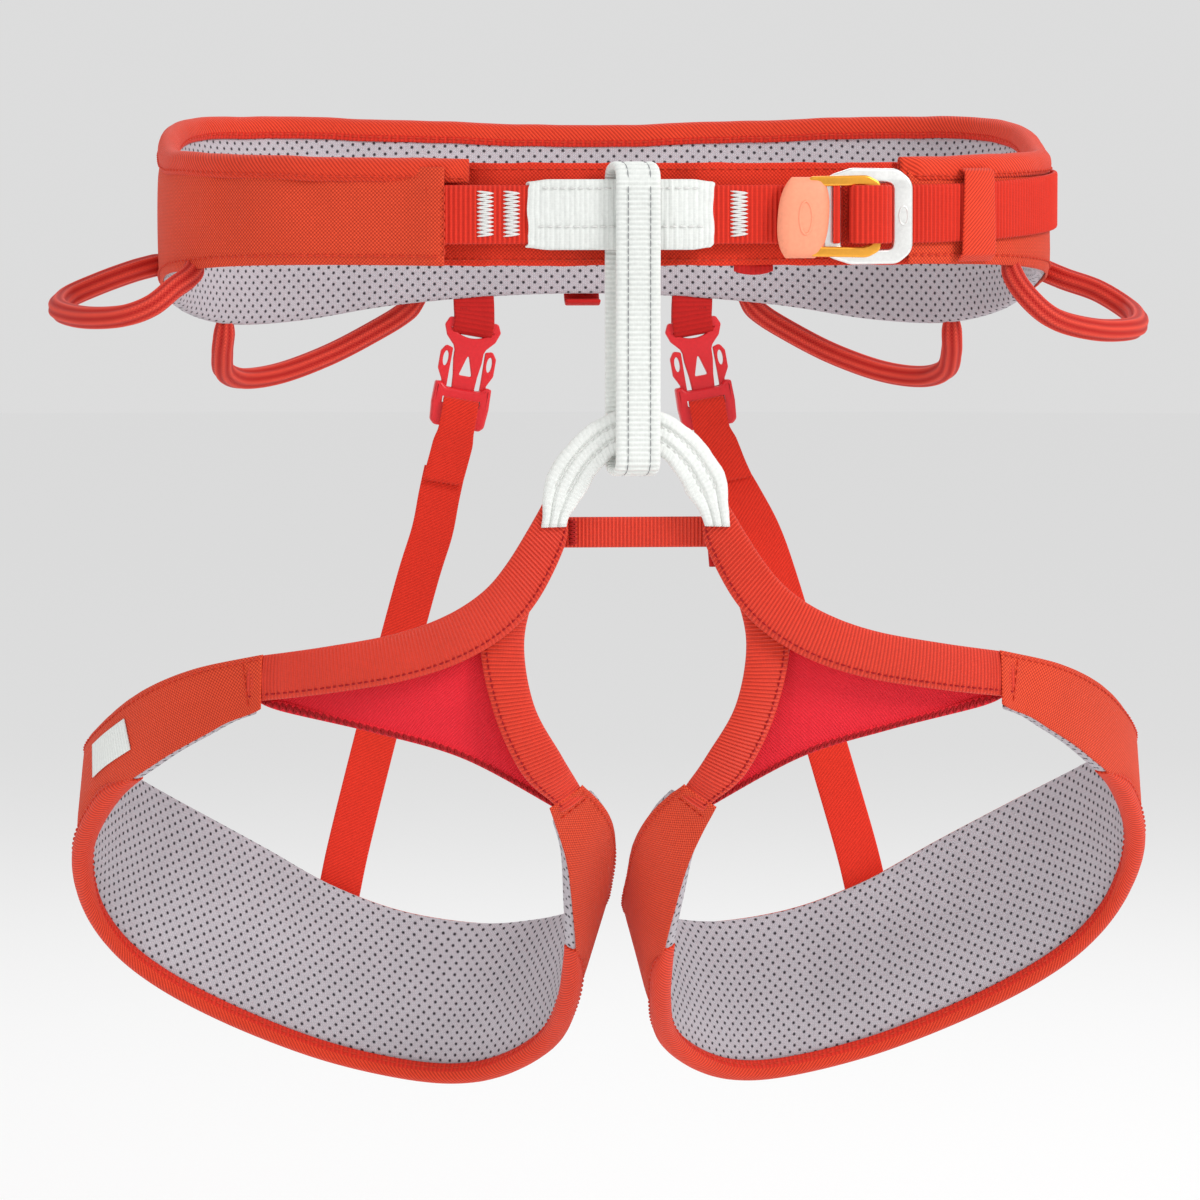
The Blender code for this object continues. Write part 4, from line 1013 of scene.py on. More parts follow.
def make_buckle():
    """Two aluminium frames, tilted up to the right: the silver one on its slider and the gold one over it."""
    gold_at, silver_at, mark_at = (buckle_stand(out, PLATE_TILT) for out in (GOLD_OUT, SILVER_OUT, MARK_OUT))
    outlines = [upright(GOLD_OUTLINE), upright(GOLD_HOLE)]
    gold = plate("buckle_gold_frame", outlines, 0.0021, 0.0007, gold_at, GOLD_LOOK)
    place(gold, "waist_belt", "gold_aluminium", "buckle_inner_frame")
    outlines = [upright(SILVER_OUTLINE), upright(SILVER_HOLE)]
    silver = plate("buckle_silver_frame", outlines, 0.0025, 0.0009, silver_at, SILVER_LOOK)
    outlines = [oval(0.0122, 0.0002, 0.0018, 0.0034), oval(0.0122, 0.0002, 0.0013, 0.0029)]
    mark = plate("buckle_mark", outlines, 0.0006, 0.00012, mark_at, SILVER_LOOK)
    silver = join("buckle_silver_frame", [silver, mark])
    place(silver, "buckle_slider", "silver_aluminium", "buckle_outer_frame")
    place(buckle_webbing("buckle_bar_webbing", BAR_PATH, 0.0012), "buckle_slider", "dark_webbing")
    fold = buckle_webbing("buckle_webbing_loop", FOLD_PATH, 0.0017)
    place(fold, "waist_belt", "dark_webbing", "buckle_webbing_fold")
    make_tab()


# The webbing over the silver frame's left bar; and the one that comes up through the buckle, over the gold
# frame's end and back down to the tail
BAR_PATH = ((-0.0128, 0.0063), (-0.0118, 0.0066), (-0.0109, 0.0064), (-0.0105, 0.0058))
FOLD_PATH = (
    (-0.0046, 0.0002), (-0.0047, 0.0038), (-0.0060, 0.0066), (-0.0058, 0.0088), (-0.0034, 0.0104),
    (0.0010, 0.0110), (0.0048, 0.0104), (0.0068, 0.0084), (0.0072, 0.0056), (0.0080, 0.0034),
    (0.0104, 0.0020), (0.0160, 0.0015),
)


def buckle_webbing(title, path, thickness):
    """Webbing over the buckle's bars along a path of (place along the belt, height off it)."""
    stand = np.array(buckle_stand(0.0))
    middle = spline([(x, 0.0, out) for x, out in path], 220)
    edges = []
    for way in (-1, 1):
        local = middle + (0, 0.0007 + way * 0.0099, 0)
        edges.append(local @ stand[:3, :3].T + stand[:3, 3])
    return band(title, *edges, thickness, STRAP_LOOK, pitch=RIB_PITCH)


TAB_S, TAB_OUT, TAB_Z = ring_s(0.0588), 0.0058, -0.0016
TAB_HALF, TAB_HALF_HEIGHT = 0.0089, 0.0138


def make_tab():
    """The soft pull tab: a crowned barrel shape over the end of the gold frame, with a plain raised oval."""
    share = np.linspace(-1, 1, 33)[:, None]
    across, rise = rounded_across(0.0180, 0.0034, 12)
    barrel = TAB_HALF * np.sqrt(1 - 0.68 * np.abs(share) ** 2.6)
    x = (across[None, :] * 2 - 1) * barrel + 0.0010 * share
    s = TAB_S + x
    z = TAB_Z + TAB_HALF_HEIGHT * share
    closing = np.sqrt(np.clip(1 - np.abs(share) ** 7, 0, 1))
    half = 0.0024 * rise[None, :] * closing + 0.00005 * rise[None, :]
    dome = 0.0012 * (1 - share**2) * rise[None, :] * (1 - (across[None, :] * 2 - 1) ** 2)
    grid_top = ring(s, TAB_OUT + half + dome, z)
    grid_low = ring(s, TAB_OUT - half * 0.4, z)
    tab = solid_band("buckle_pull_tab_moulding", grid_top, grid_low, [TAB_LOOK])
    subdivide(tab)
    place(tab, "waist_belt", "soft_tab", "buckle_pull_tab")
    turns = np.linspace(0, 2 * np.pi, 49)
    line = ring(TAB_S + 0.0021 * np.cos(turns), TAB_OUT + 0.0034, TAB_Z + 0.0056 * np.sin(turns))
    oval_rim = tube("buckle_pull_tab_oval", line, (0.00045, 0.00045), TAB_LOOK, UPWARD, 8)
    place(oval_rim, "waist_belt", "soft_tab")


# Belay loop and lower tie-in


BELAY_SEAMS = (0.27, 0.77)
# The loop's middle plane, the half distance of its two strands, its ends, and how far the back one is shifted
BELAY_Y, BELAY_REACH, BELAY_TOP, BELAY_FOOT, BELAY_SHIFT = -0.10375, 0.00545, 0.0160, -0.0878, 0.0029


def make_belay_loop():
    """The closed loop of thick webbing round the sleeve and the arch."""
    middle, reach = BELAY_Y, BELAY_REACH
    high, low = BELAY_TOP - reach, BELAY_FOOT + reach
    turns = np.radians(np.linspace(0, 180, 40))
    up = [(LEG_CENTRE_X, middle - reach * math.cos(t), high + reach * math.sin(t)) for t in turns]
    down = [(LEG_CENTRE_X, middle + reach * math.cos(t), low - reach * math.sin(t)) for t in turns]
    back = [(LEG_CENTRE_X, middle + reach, z) for z in np.linspace(high, low, 80)[1:-1]]
    front = [(LEG_CENTRE_X, middle - reach, z) for z in np.linspace(low, high, 80)[1:-1]]
    route = np.array(up + back + down + front)
    route[:, 0] -= BELAY_SHIFT * ease((route[:, 1] - middle + reach) / (2 * reach))
    half = np.array((BELAY_W / 2, 0, 0))

    def channels(shares):
        return 0.00022 * sum(np.exp(-(((shares - at) / 0.035) ** 2)) for at in BELAY_SEAMS)

    loop = band("belay_loop_webbing", route - half, route + half, BELAY_T, WHITE_LOOK, wrap=True,
                pitch=BELAY_RIB_PITCH, rib=0.00020, inner=18, groove=channels)
    place(loop, "belay_loop", "white_webbing", "belay_loop")
    closed = np.concatenate([route, route[:1]])
    centre = np.array([(LEG_CENTRE_X, middle, min(max(p[2], low), high)) for p in closed])
    for word, share in zip(("left", "right"), BELAY_SEAMS, strict=True):
        line = closed + (BELAY_W * (share - 0.5), 0, 0)
        sew(f"belay_loop_stitches_{word}", line, closed - centre, GREY_THREAD, "belay_loop", "white_webbing",
            BELAY_T / 2, 0.0026, 0.0024, 0.00016)


# One half of the arch's middle line, from its foot to its top
ARCH_HALF = (
    (-0.0280, -0.0990, -0.1068), (-0.0267, -0.0990, -0.1005), (-0.0240, -0.0995, -0.0925),
    (-0.0180, -0.1010, -0.0832), (-0.0092, -0.1030, -0.0758), (0.0, -0.1035, -0.0738),
)
ARCH_ROUTE = (*ARCH_HALF, *((-x, y, z) for x, y, z in ARCH_HALF[-2::-1]))
ARCH_CENTRE = np.array((LEG_CENTRE_X, -0.1000, -0.1060))
# Shares of the width lost at the feet and of the thickness kept, and the room that the belay loop needs
ARCH_FOOT, ARCH_THIN, ARCH_ROOM = 0.40, 0.85, 0.0011


def make_arch():
    """The white tie-in arch: layered flat webbing with two lengthwise grooves, narrowed at its feet."""
    route = spline([(LEG_CENTRE_X + x, y, z) for x, y, z in ARCH_ROUTE], 160)
    across = unit((route - ARCH_CENTRE) * (1, 0, 1))
    share = np.linspace(-1, 1, len(route))[:, None]
    width = ARCH_W * (1 - ARCH_FOOT * ease((np.abs(share) - 0.66) / 0.30))

    def grooves(shares):
        return 0.0011 * sum(np.exp(-(((shares - at) / 0.045) ** 2)) for at in (0.36, 0.68))

    wave = 0.00025 * wander(lengths_of(route), 11, 0.012)[:, None] * across
    room = ARCH_ROOM * np.exp(-((share / 0.38) ** 2))
    inner_edge, outer_edge = route - across * (width / 2 - room) + wave, route + across * width / 2 - wave
    arch = band("tie_in_arch_webbing", inner_edge, outer_edge, ARCH_T * ARCH_THIN, TAPE_LOOK, inner=26,
                groove=grooves, radius=0.0017)
    place(arch, "lower_tie_in", "white_webbing", "tie_in_arch")
    normals = normals_of(np.stack([route - across * 0.005, route + across * 0.005], axis=1))[:, 0]
    for word, at in (("inner", -0.14), ("outer", 0.18)):
        line = (route + across * width * at)[20:-20]
        sew(f"arch_stitches_{word}", line, normals[20:-20], WHITE_THREAD, "lower_tie_in", "white_webbing",
            ARCH_T / 2 - 0.0004, 0.0028, 0.0021, 0.00022)
    make_bridge()


BRIDGE_PATH = ((-0.0266, -0.0920), (-0.0120, -0.0922), (0.0, -0.0922), (0.0120, -0.0922), (0.0266, -0.0920))
BRIDGE_Z, BRIDGE_HALF, BRIDGE_T = -0.1090, 0.00525, 0.0017


def make_bridge():
    """The webbing between the leg loops, its tack and its free end."""
    route = spline([(LEG_CENTRE_X + x, y, BRIDGE_Z) for x, y in BRIDGE_PATH], 80)
    edges = (route - UPWARD * BRIDGE_HALF, route + UPWARD * BRIDGE_HALF)
    bridge = band("leg_bridge_webbing", *edges, BRIDGE_T, LEG_STRAP_LOOK, pitch=LEG_RIB_PITCH)
    place(bridge, "lower_tie_in", "red_webbing", "leg_bridge_strap")
    corner = route[6] + (0, -0.00115, -0.0042)
    along, up = np.array((0.0030, 0, 0)), np.array((0, 0, 0.0084))
    tack = zigzag("bridge_tack", corner, along, up, FORWARD, 12, RED_THREAD)
    place(tack, "lower_tie_in", "red_webbing")
    line = np.linspace((0.0302, -0.0926, -0.1120), (0.0310, -0.0922, -0.1210), 12)
    tail = band("bridge_webbing_end", line - (0.0022, 0, 0), line + (0.0022, 0, 0), 0.0016, DEEP_LOOK)
    place(tail, "leg_loop_left", "red_webbing")


# Leg loops: edges of the wearer's left loop; the other one is its mirror image

LEG_PAD_TOP = (
    (0.1265, -0.0880, -0.1505), (0.1500, -0.0720, -0.1565), (0.1680, -0.0530, -0.1655),
    (0.1815, -0.0280, -0.1780), (0.1870, 0.0000, -0.1890), (0.1760, 0.0210, -0.1985),
    (0.1620, 0.0360, -0.2080), (0.1440, 0.0470, -0.2190), (0.1220, 0.0560, -0.2320),
    (0.0980, 0.0610, -0.2460), (0.0720, 0.0620, -0.2560), (0.0440, 0.0550, -0.2600),
    (0.0230, 0.0420, -0.2580), (0.0095, 0.0220, -0.2530), (0.0025, -0.0040, -0.2450),
    (0.0016, -0.0300, -0.2335), (0.0022, -0.0540, -0.2200), (0.0068, -0.0755, -0.2080),
    (0.0176, -0.0900, -0.1958),
)
LEG_PAD_LOW = (
    (0.1270, -0.0880, -0.1660), (0.1430, -0.0770, -0.1770), (0.1610, -0.0580, -0.1890),
    (0.1800, -0.0300, -0.2060), (0.1910, -0.0020, -0.2270), (0.1900, 0.0200, -0.2460),
    (0.1800, 0.0350, -0.2640), (0.1620, 0.0450, -0.2800), (0.1360, 0.0540, -0.2950),
    (0.1050, 0.0600, -0.3080), (0.0760, 0.0590, -0.3155), (0.0520, 0.0510, -0.3175),
    (0.0340, 0.0370, -0.3130), (0.0190, 0.0165, -0.3010), (0.0145, -0.0075, -0.2855),
    (0.0145, -0.0290, -0.2665), (0.0175, -0.0500, -0.2445), (0.0215, -0.0700, -0.2240),
    (0.0290, -0.0885, -0.2035),
)
OUTER_STRAP_TOP = (
    (0.0340, -0.0975, -0.1030), (0.0440, -0.1000, -0.1190), (0.0530, -0.1020, -0.1290),
    (0.0660, -0.1025, -0.1370), (0.0830, -0.1005, -0.1430), (0.1060, -0.0950, -0.1475),
    (0.1245, -0.0888, -0.1505),
)
OUTER_STRAP_LOW = (
    (0.0240, -0.0975, -0.1130), (0.0330, -0.1000, -0.1310), (0.0440, -0.1020, -0.1430),
    (0.0600, -0.1025, -0.1525), (0.0800, -0.1005, -0.1590), (0.1050, -0.0950, -0.1635),
    (0.1250, -0.0888, -0.1662),
)
INNER_STRAP_TOP = (
    (0.0270, -0.0985, -0.1120), (0.0340, -0.1000, -0.1290), (0.0380, -0.1005, -0.1470),
    (0.0345, -0.0985, -0.1680), (0.0252, -0.0945, -0.1850), (0.0190, -0.0905, -0.1952),
)
INNER_STRAP_LOW = (
    (0.0380, -0.0985, -0.1150), (0.0480, -0.1000, -0.1300), (0.0530, -0.1005, -0.1460),
    (0.0485, -0.0985, -0.1700), (0.0390, -0.0945, -0.1910), (0.0282, -0.0905, -0.2018),
)
GUSSET_TOP = (
    (0.0490, -0.0945, -0.1480), (0.0740, -0.0952, -0.1545), (0.1000, -0.0910, -0.1600),
    (0.1200, -0.0855, -0.1645),
)
GUSSET_LOW = (
    (0.0262, -0.0856, -0.2042), (0.0580, -0.0900, -0.1865), (0.0880, -0.0895, -0.1775),
    (0.1200, -0.0855, -0.1700),
)
OUTER_STRAP_START = ((0.0305, -0.0958, -0.0965), (0.0232, -0.0958, -0.1035))
GUSSET_TIP = ((0.1290, -0.0853, -0.1640), (0.1290, -0.0853, -0.1662))


def leg_side(side):
    """The name of a side: 1 is the wearer's left, -1 the right."""
    return "left" if side > 0 else "right"


def mirrored(points, side, centre=LEG_CENTRE_X):
    """Points of one side, given from the centre line, on either side of it."""
    return [(centre + side * x, y, z) for x, y, z in points]


def leg_edges(side, upper, lower, count):
    """Two edges of a leg loop's piece as curves with matching points."""
    return tuple(spline(mirrored(points, side), count, even=False) for points in (upper, lower))


def make_leg_pad(side):
    """A leg loop's padding with its mesh lining, the woven shell round it and the folded rim binding."""
    name, body = leg_side(side), f"leg_loop_{leg_side(side)}"
    upper, lower = leg_edges(side, LEG_PAD_TOP, LEG_PAD_LOW, 150)
    place_along = np.linspace(0, 1, 150)[:, None]
    share = np.linspace(0, 1, 15)[None, :]
    sleeves = ease((place_along - 0.13) / 0.06) * ease((0.86 - place_along) / 0.06)
    start = sleeves * 0.0030 / np.linalg.norm(upper - lower, axis=1)[:, None]
    start = start - 0.20 * ease(1 - place_along / 0.05)
    shares = start + (1 - start) * share
    grid = lower[:, None] * (1 - shares[..., None]) + upper[:, None] * shares[..., None]
    normal = normals_of(grid) * side
    ends = np.minimum(place_along, 1 - place_along)
    dip = 0.0016 * ease(1 - ends / 0.035) * np.ones_like(share)
    pinch = 1 - 0.55 * sleeves * ease((0.26 - share) / 0.16)
    pinch = pinch * (0.60 + 0.40 * ease((1 - share) / 0.10)) * (1 - 0.4 * ease(1 - ends / 0.04))
    middle, half = foam_section(LEG_PAD_T, pinch)
    outer = grid - normal * (middle - half + dip)[..., None]
    inner = grid - normal * (middle + half + dip)[..., None]
    free = ease(ends / 0.05) * np.ones_like(share)
    outer, inner = inflate(outer, inner, free * 0.5, free, LEG_SWELL)
    pad = layer(f"leg_padding_{name}", outer[3:-4], inner[3:-4], [MESH_LOOK])
    subdivide(pad)
    place(pad, body, "mesh_lining", f"leg_foam_{name}", f"leg_lining_{name}")
    run = lengths_of(grid[:, 7])[:, None]
    pucker = 0.0002 * wander(run, 21, 0.010) * (ease((share - 0.85) / 0.15) + ease((0.15 - share) / 0.15))
    lift = 0.0022 * ease(1 - ends / 0.035) + dip
    face = outer + normal * (LINING_GAP + lift + pucker)[..., None]
    top_face = face + normal * SHELL_T
    shell = layer(f"leg_shell_cloth_{name}", top_face, face, [SHELL_LOOK])
    subdivide(shell)
    place(shell, body, "shell_cloth", f"leg_shell_{name}")
    make_leg_rim(side, upper, lower)
    for word, row in (("outer", 3), ("inner", -4)):
        sew(f"leg_sleeve_stitches_{word}_{name}", top_face[row, 1:-1], normal[row, 1:-1], ORANGE_THREAD,
            body, "shell_cloth", 0.0002)
    sew(f"leg_top_stitches_{name}", top_face[:, -2], normal[:, -2], ORANGE_THREAD,
        body, "shell_cloth", 0.0001)
    if side < 0:
        make_label(top_face, normal, body)


def make_label(face, normal, body):
    """A plain woven label on the right leg loop's sleeve."""
    rows, columns = slice(20, 28), slice(5, 12)
    grid, up = face[rows, columns], normal[rows, columns]
    lines = (grid + up * 0.0005).transpose(1, 0, 2)
    label = band("leg_label", spline(lines[0], 24), spline(lines[-1], 24), 0.0005, WHITE_LOOK, inner=8)
    place(label, body, "white_webbing")


LEG_BINDING_SECTION = (
    (-0.0006, -0.0068), (-0.0001, -0.0052), (0.0001, -0.0033), (-0.0004, -0.0014), (-0.0016, -0.0002),
    (-0.0034, 0.0003), (-0.0050, -0.0002), (-0.0062, -0.0014), (-0.0066, -0.0034), (-0.0062, -0.0052),
    (-0.0057, -0.0066),
)


def make_leg_rim(side, upper, lower):
    """The tape folded over the leg loop's lower edge between its two sleeves."""
    name, body = leg_side(side), f"leg_loop_{leg_side(side)}"
    rows = 760
    upper, lower = (spline(edge, rows, even=False) for edge in (upper, lower))
    share = np.linspace(0, 1, rows)
    grow = ease((share - 0.13) / 0.05) * ease((0.86 - share) / 0.05)
    keep = grow > 0.10
    grow = grow[keep][:, None, None]
    down = unit(lower - upper)[keep][:, None]
    normal = (normals_of(np.stack([lower, upper], axis=1))[:, 0] * side)[keep][:, None]
    section = spline([(0.0, *p) for p in LEG_BINDING_SECTION], 24)[:, 1:]
    out, deep = section[None, :, 0, None], section[None, :, 1, None]
    middle = -LEG_PAD_T / 2
    out = middle + (out - middle) * (0.60 + 0.40 * grow)
    grid = lower[keep][:, None] + normal * out + down * (deep * grow)
    tape = cloth(f"leg_rim_tape_{name}", grid, PIPING_T, BINDING_LOOK, smooth=0, edge_look=STRAP_LOOK, edge=4)
    place(tape, body, "binding_tape", f"leg_rim_binding_{name}")
    for word, column, way in (("outer", 2, 1), ("inner", -3, -1)):
        sew(f"leg_rim_stitches_{word}_{name}", grid[:, column], way * normal[:, 0], ORANGE_THREAD,
            body, "binding_tape", BINDING_LIFT)


def extended(edge, start=0.0, end=0.0):
    """The edge with a straight stretch added before its start and after its end."""
    before = edge[:1] - unit(edge[1:2] - edge[:1]) * start
    after = edge[-1:] + unit(edge[-1:] - edge[-2:-1]) * end
    return np.concatenate([before, edge, after])


LEG_STRAP_T, LEG_STRAP_RIB, LEG_STRAP_CROWN = 0.0018, 0.00024, 0.0008


def tucked(upper, lower, way):
    """The two edges of a strap, with its end dipping under the shell that it is sewn to."""
    run = lengths_of((upper + lower) / 2)[:, None]
    normal = normals_of(np.stack([lower, upper], axis=1))[:, 0]
    dive = normal * way * 0.0024 * ease(1 - (run[-1] - run) / 0.014)
    return upper + dive, lower + dive


def make_leg_straps(side):
    """The outer and the inner webbing of a leg loop, with the overlocked thread along each."""
    name, body = leg_side(side), f"leg_loop_{leg_side(side)}"
    starts, lower_starts = OUTER_STRAP_START[:1], OUTER_STRAP_START[1:]
    outer = leg_edges(side, starts + OUTER_STRAP_TOP, lower_starts + OUTER_STRAP_LOW, 140)
    outer = tucked(*(extended(edge, end=0.0080) for edge in outer), -side)
    inner = leg_edges(side, INNER_STRAP_TOP, INNER_STRAP_LOW, 120)
    shift = 0.0034 * (1 - ease(np.linspace(-0.4, 1.3, 121)))[:, None] * BACKWARD
    inner = tucked(*(extended(edge, end=0.0060)[1:] + shift for edge in inner), side)
    straps = (("outer", outer, side), ("inner", inner, -side))
    for word, (up, low), way in straps:
        strap = band(f"leg_{word}_webbing_{name}", low, up, LEG_STRAP_T, LEG_STRAP_LOOK, pitch=LEG_RIB_PITCH,
                     rib=LEG_STRAP_RIB, crown=way * LEG_STRAP_CROWN)
        place(strap, body, "red_webbing", f"leg_{word}_strap_{name}")
    for word, (up, low), way in straps:
        line = low + (up - low) * 0.13
        front = normals_of(np.stack([low, up], axis=1))[:, 0] * way
        sew(f"leg_{word}_webbing_stitches_{name}", line, front, OVERLOCK_THREAD, body, "red_webbing",
            0.00125, 0.0022, 0.0016)
    make_gusset(side, name, body)


def make_gusset(side, name, body):
    """The mesh between the two straps of a leg loop."""
    rows, columns = 60, 14
    upper, lower = leg_edges(side, GUSSET_TOP + GUSSET_TIP[:1], GUSSET_LOW + GUSSET_TIP[1:], rows)
    grid = between(lower, upper, np.linspace(0, 1, columns))
    along, across = (np.sin(np.pi * np.linspace(0, 1, count)) for count in (rows, columns))
    grid = grid + BACKWARD * (0.0010 * across[None, :, None] * along[:, None, None])
    gusset = cloth(f"leg_gusset_mesh_{name}", grid, 0.0008, GUSSET_LOOK)
    place(gusset, body, "gusset_mesh", f"leg_gusset_{name}")
    make_gusset_hem(name, body, upper, lower)


def make_gusset_hem(name, body, upper, lower):
    """The folded hem along the gusset's lower edge, with overlocked thread."""
    inwards = unit(upper - lower)
    room = np.minimum(1.0, np.linalg.norm(upper - lower, axis=1, keepdims=True) / 0.0060)
    edges = (lower - inwards * 0.0004, lower + inwards * 0.0034 * room)
    place(band(f"leg_gusset_hem_{name}", *edges, 0.0013, GUSSET_LOOK), body, "gusset_mesh")
    run = lengths_of(lower)
    step = 0.0026
    places = np.arange(0.001, run[-1] - 0.001, step)
    lines = [lower + inwards * offset * room + FORWARD * 0.0009 for offset in (-0.0002, 0.0030)]
    there, back = at_lengths(lines[0], run, places), at_lengths(lines[1], run, places + step / 2)
    starts = np.concatenate([there, back[:-1]])
    stops = np.concatenate([back, there[1:]])
    up = np.repeat(FORWARD[None], len(starts), axis=0)
    overlock = threads(f"leg_gusset_overlock_{name}", starts, stops, up, OVERLOCK_THREAD, 0.00036)
    place(overlock, body, "gusset_mesh")


# Gear loops, haul loop and risers

# The front loops hang a little differently on the two sides
FRONT_GEAR = {
    1: (
        (0.1374, -0.0590, -0.0212), (0.1431, -0.0630, -0.0305), (0.1529, -0.0605, -0.0378),
        (0.1680, -0.0540, -0.0415), (0.1817, -0.0425, -0.0415), (0.1864, -0.0265, -0.0390),
        (0.1848, -0.0110, -0.0352), (0.1757, -0.0030, -0.0292), (0.1643, 0.0030, -0.0250),
        (0.1553, 0.0125, -0.0205),
    ),
    -1: (
        (0.1462, -0.0480, -0.0207), (0.1535, -0.0555, -0.0267), (0.1611, -0.0580, -0.0325),
        (0.1711, -0.0540, -0.0360), (0.1838, -0.0425, -0.0367), (0.1920, -0.0265, -0.0346),
        (0.1896, -0.0110, -0.0309), (0.1783, -0.0030, -0.0260), (0.1662, 0.0030, -0.0218),
        (0.1555, 0.0125, -0.0190),
    ),
}
REAR_GEAR = (
    (0.1326, 0.0664, -0.0455), (0.1332, 0.0712, -0.0530), (0.1322, 0.0800, -0.0600),
    (0.1250, 0.0920, -0.0632), (0.1110, 0.1010, -0.0615), (0.0930, 0.1060, -0.0550),
    (0.0760, 0.1060, -0.0462), (0.0650, 0.1030, -0.0392),
)
# Where the loops' ends go on behind the edge of the belt, and how they grow thinner there
FRONT_GEAR_ENDS = {
    1: ((0.1378, -0.0570, -0.0110), (0.1518, 0.0175, -0.0165)),
    -1: ((0.1466, -0.0440, -0.0110), (0.1518, 0.0175, -0.0160)),
}
REAR_GEAR_ENDS = ((0.1320, 0.0645, -0.0350), (0.0570, 0.0965, -0.0310))
GEAR_TAPER, GEAR_TAPER_LENGTH = 0.55, 0.012


def make_gear_loops():
    """The four braided gear loops."""

    def ridges(angles, run):
        return 1 - 0.05 + 0.05 * np.sin(8 * angles) + 0.012 * np.sin(24 * angles) * np.cos(run * 5000)

    for side in (1, -1):
        front = ("front", FRONT_GEAR[side], FRONT_GEAR_ENDS[side])
        for word, points, ends in (front, ("rear", REAR_GEAR, REAR_GEAR_ENDS)):
            title = f"gear_loop_{word}_{leg_side(side)}"
            route = spline(mirrored(ends[:1] + points + ends[1:], side, 0.0), 300)
            run = lengths_of(route)
            from_end = np.minimum(run, run[-1] - run)
            radii = np.stack([GEAR_R * (1 - GEAR_TAPER * ease(1 - from_end / GEAR_TAPER_LENGTH))] * 2, axis=1)
            loop = tube(f"{title}_sheath", route, radii, BRAID_LOOK, UPWARD, 48, ridges)
            place(loop, f"gear_{word}_{leg_side(side)}", "braided_sheath", title)


HAUL_SECTION = (
    (0.1030, -0.0140), (0.1052, -0.0180), (0.1068, -0.0260), (0.1055, -0.0330), (0.1010, -0.0362),
    (0.0970, -0.0352),
)
HAUL_HALF = 0.0065


def make_haul_loop():
    """The small loop at the middle of the belt's back, with the tack at its top."""
    route = spline([(0.0, y, z) for y, z in HAUL_SECTION], 60)
    edges = (route - (HAUL_HALF, 0, 0), route + (HAUL_HALF, 0, 0))
    loop = band("haul_loop_webbing", *edges, 0.0014, DEEP_LOOK, pitch=RIB_PITCH, rib=0.0001)
    place(loop, "waist_belt", "dark_webbing", "haul_loop")
    corner, along = np.array((-0.0055, 0.1043, -0.0162)), np.array((0, 0.0004, -0.0022))
    across, up = np.array((0.0110, 0, 0)), np.array((0, 1.0, 0.3))
    tack = zigzag("haul_loop_tack_top", corner, along, across, up, 16, RED_THREAD, 0.0003)
    place(tack, "waist_belt", "dark_webbing")


def riser_stand(side):
    """Axes of a rear buckle: X across, Y towards the back, Z up along the strap; origin at its top bar."""
    lean = Matrix.Rotation(-side * BUCKLE_TILT, 4, "Y")
    return Matrix.Translation((side * RISER_X, RISER_TOP_Y, RISER_TOP_Z)) @ lean


def in_riser(side, points):
    """Points given in a rear buckle's own axes."""
    stand = np.array(riser_stand(side))
    return np.asarray(points, float) @ stand[:3, :3].T + stand[:3, 3]


# Right halves of the rear buckle's outlines: x, y and corner radius
MALE_HALF = (
    (0.0090, 0.0018, 0.0014), (0.0104, -0.0014, 0.0014), (0.0090, -0.0052, 0.0018),
    (0.0060, -0.0084, 0.0014), (0.0054, -0.0100, 0.0010), (0.0053, -0.0135, 0.0020),
    (0.0045, -0.0190, 0.0014), (0.0041, -0.0250, 0.0010),
)
MALE_WINDOW = ((0.0, -0.0108, 0.0006), (0.0024, -0.0190, 0.0006), (-0.0024, -0.0190, 0.0006))
PRONG_OUTLINE = (
    (0.0060, -0.0094, 0.0008), (0.0086, -0.0086, 0.0012), (0.0103, -0.0112, 0.0016),
    (0.0103, -0.0176, 0.0020), (0.0083, -0.0215, 0.0012), (0.0083, -0.0256, 0.0008),
    (0.0061, -0.0256, 0.0008), (0.0061, -0.0190, 0.0010),
)
SOCKET_HALF = (
    (0.0, -0.0240, 0.0020), (0.0062, -0.0238, 0.0020), (0.0080, -0.0222, 0.0008), (0.0104, -0.0222, 0.0010),
    (0.0106, -0.0300, 0.0030), (0.0100, -0.0368, 0.0020), (0.0084, -0.0383, 0.0016),
)
# The webbing's way round the male half's bar: place to the back, in strap gaps, and height
RISER_TURN = (
    (-1, 0.0015), (-1, -0.0006), (-0.75, -0.0028), (0, -0.0036), (0.75, -0.0028), (1, -0.0006), (1, 0.0015),
)
RISER_GAP, RISER_BELT_GAP, RISER_BELT_Z = 0.0026, 0.0011, -0.0335


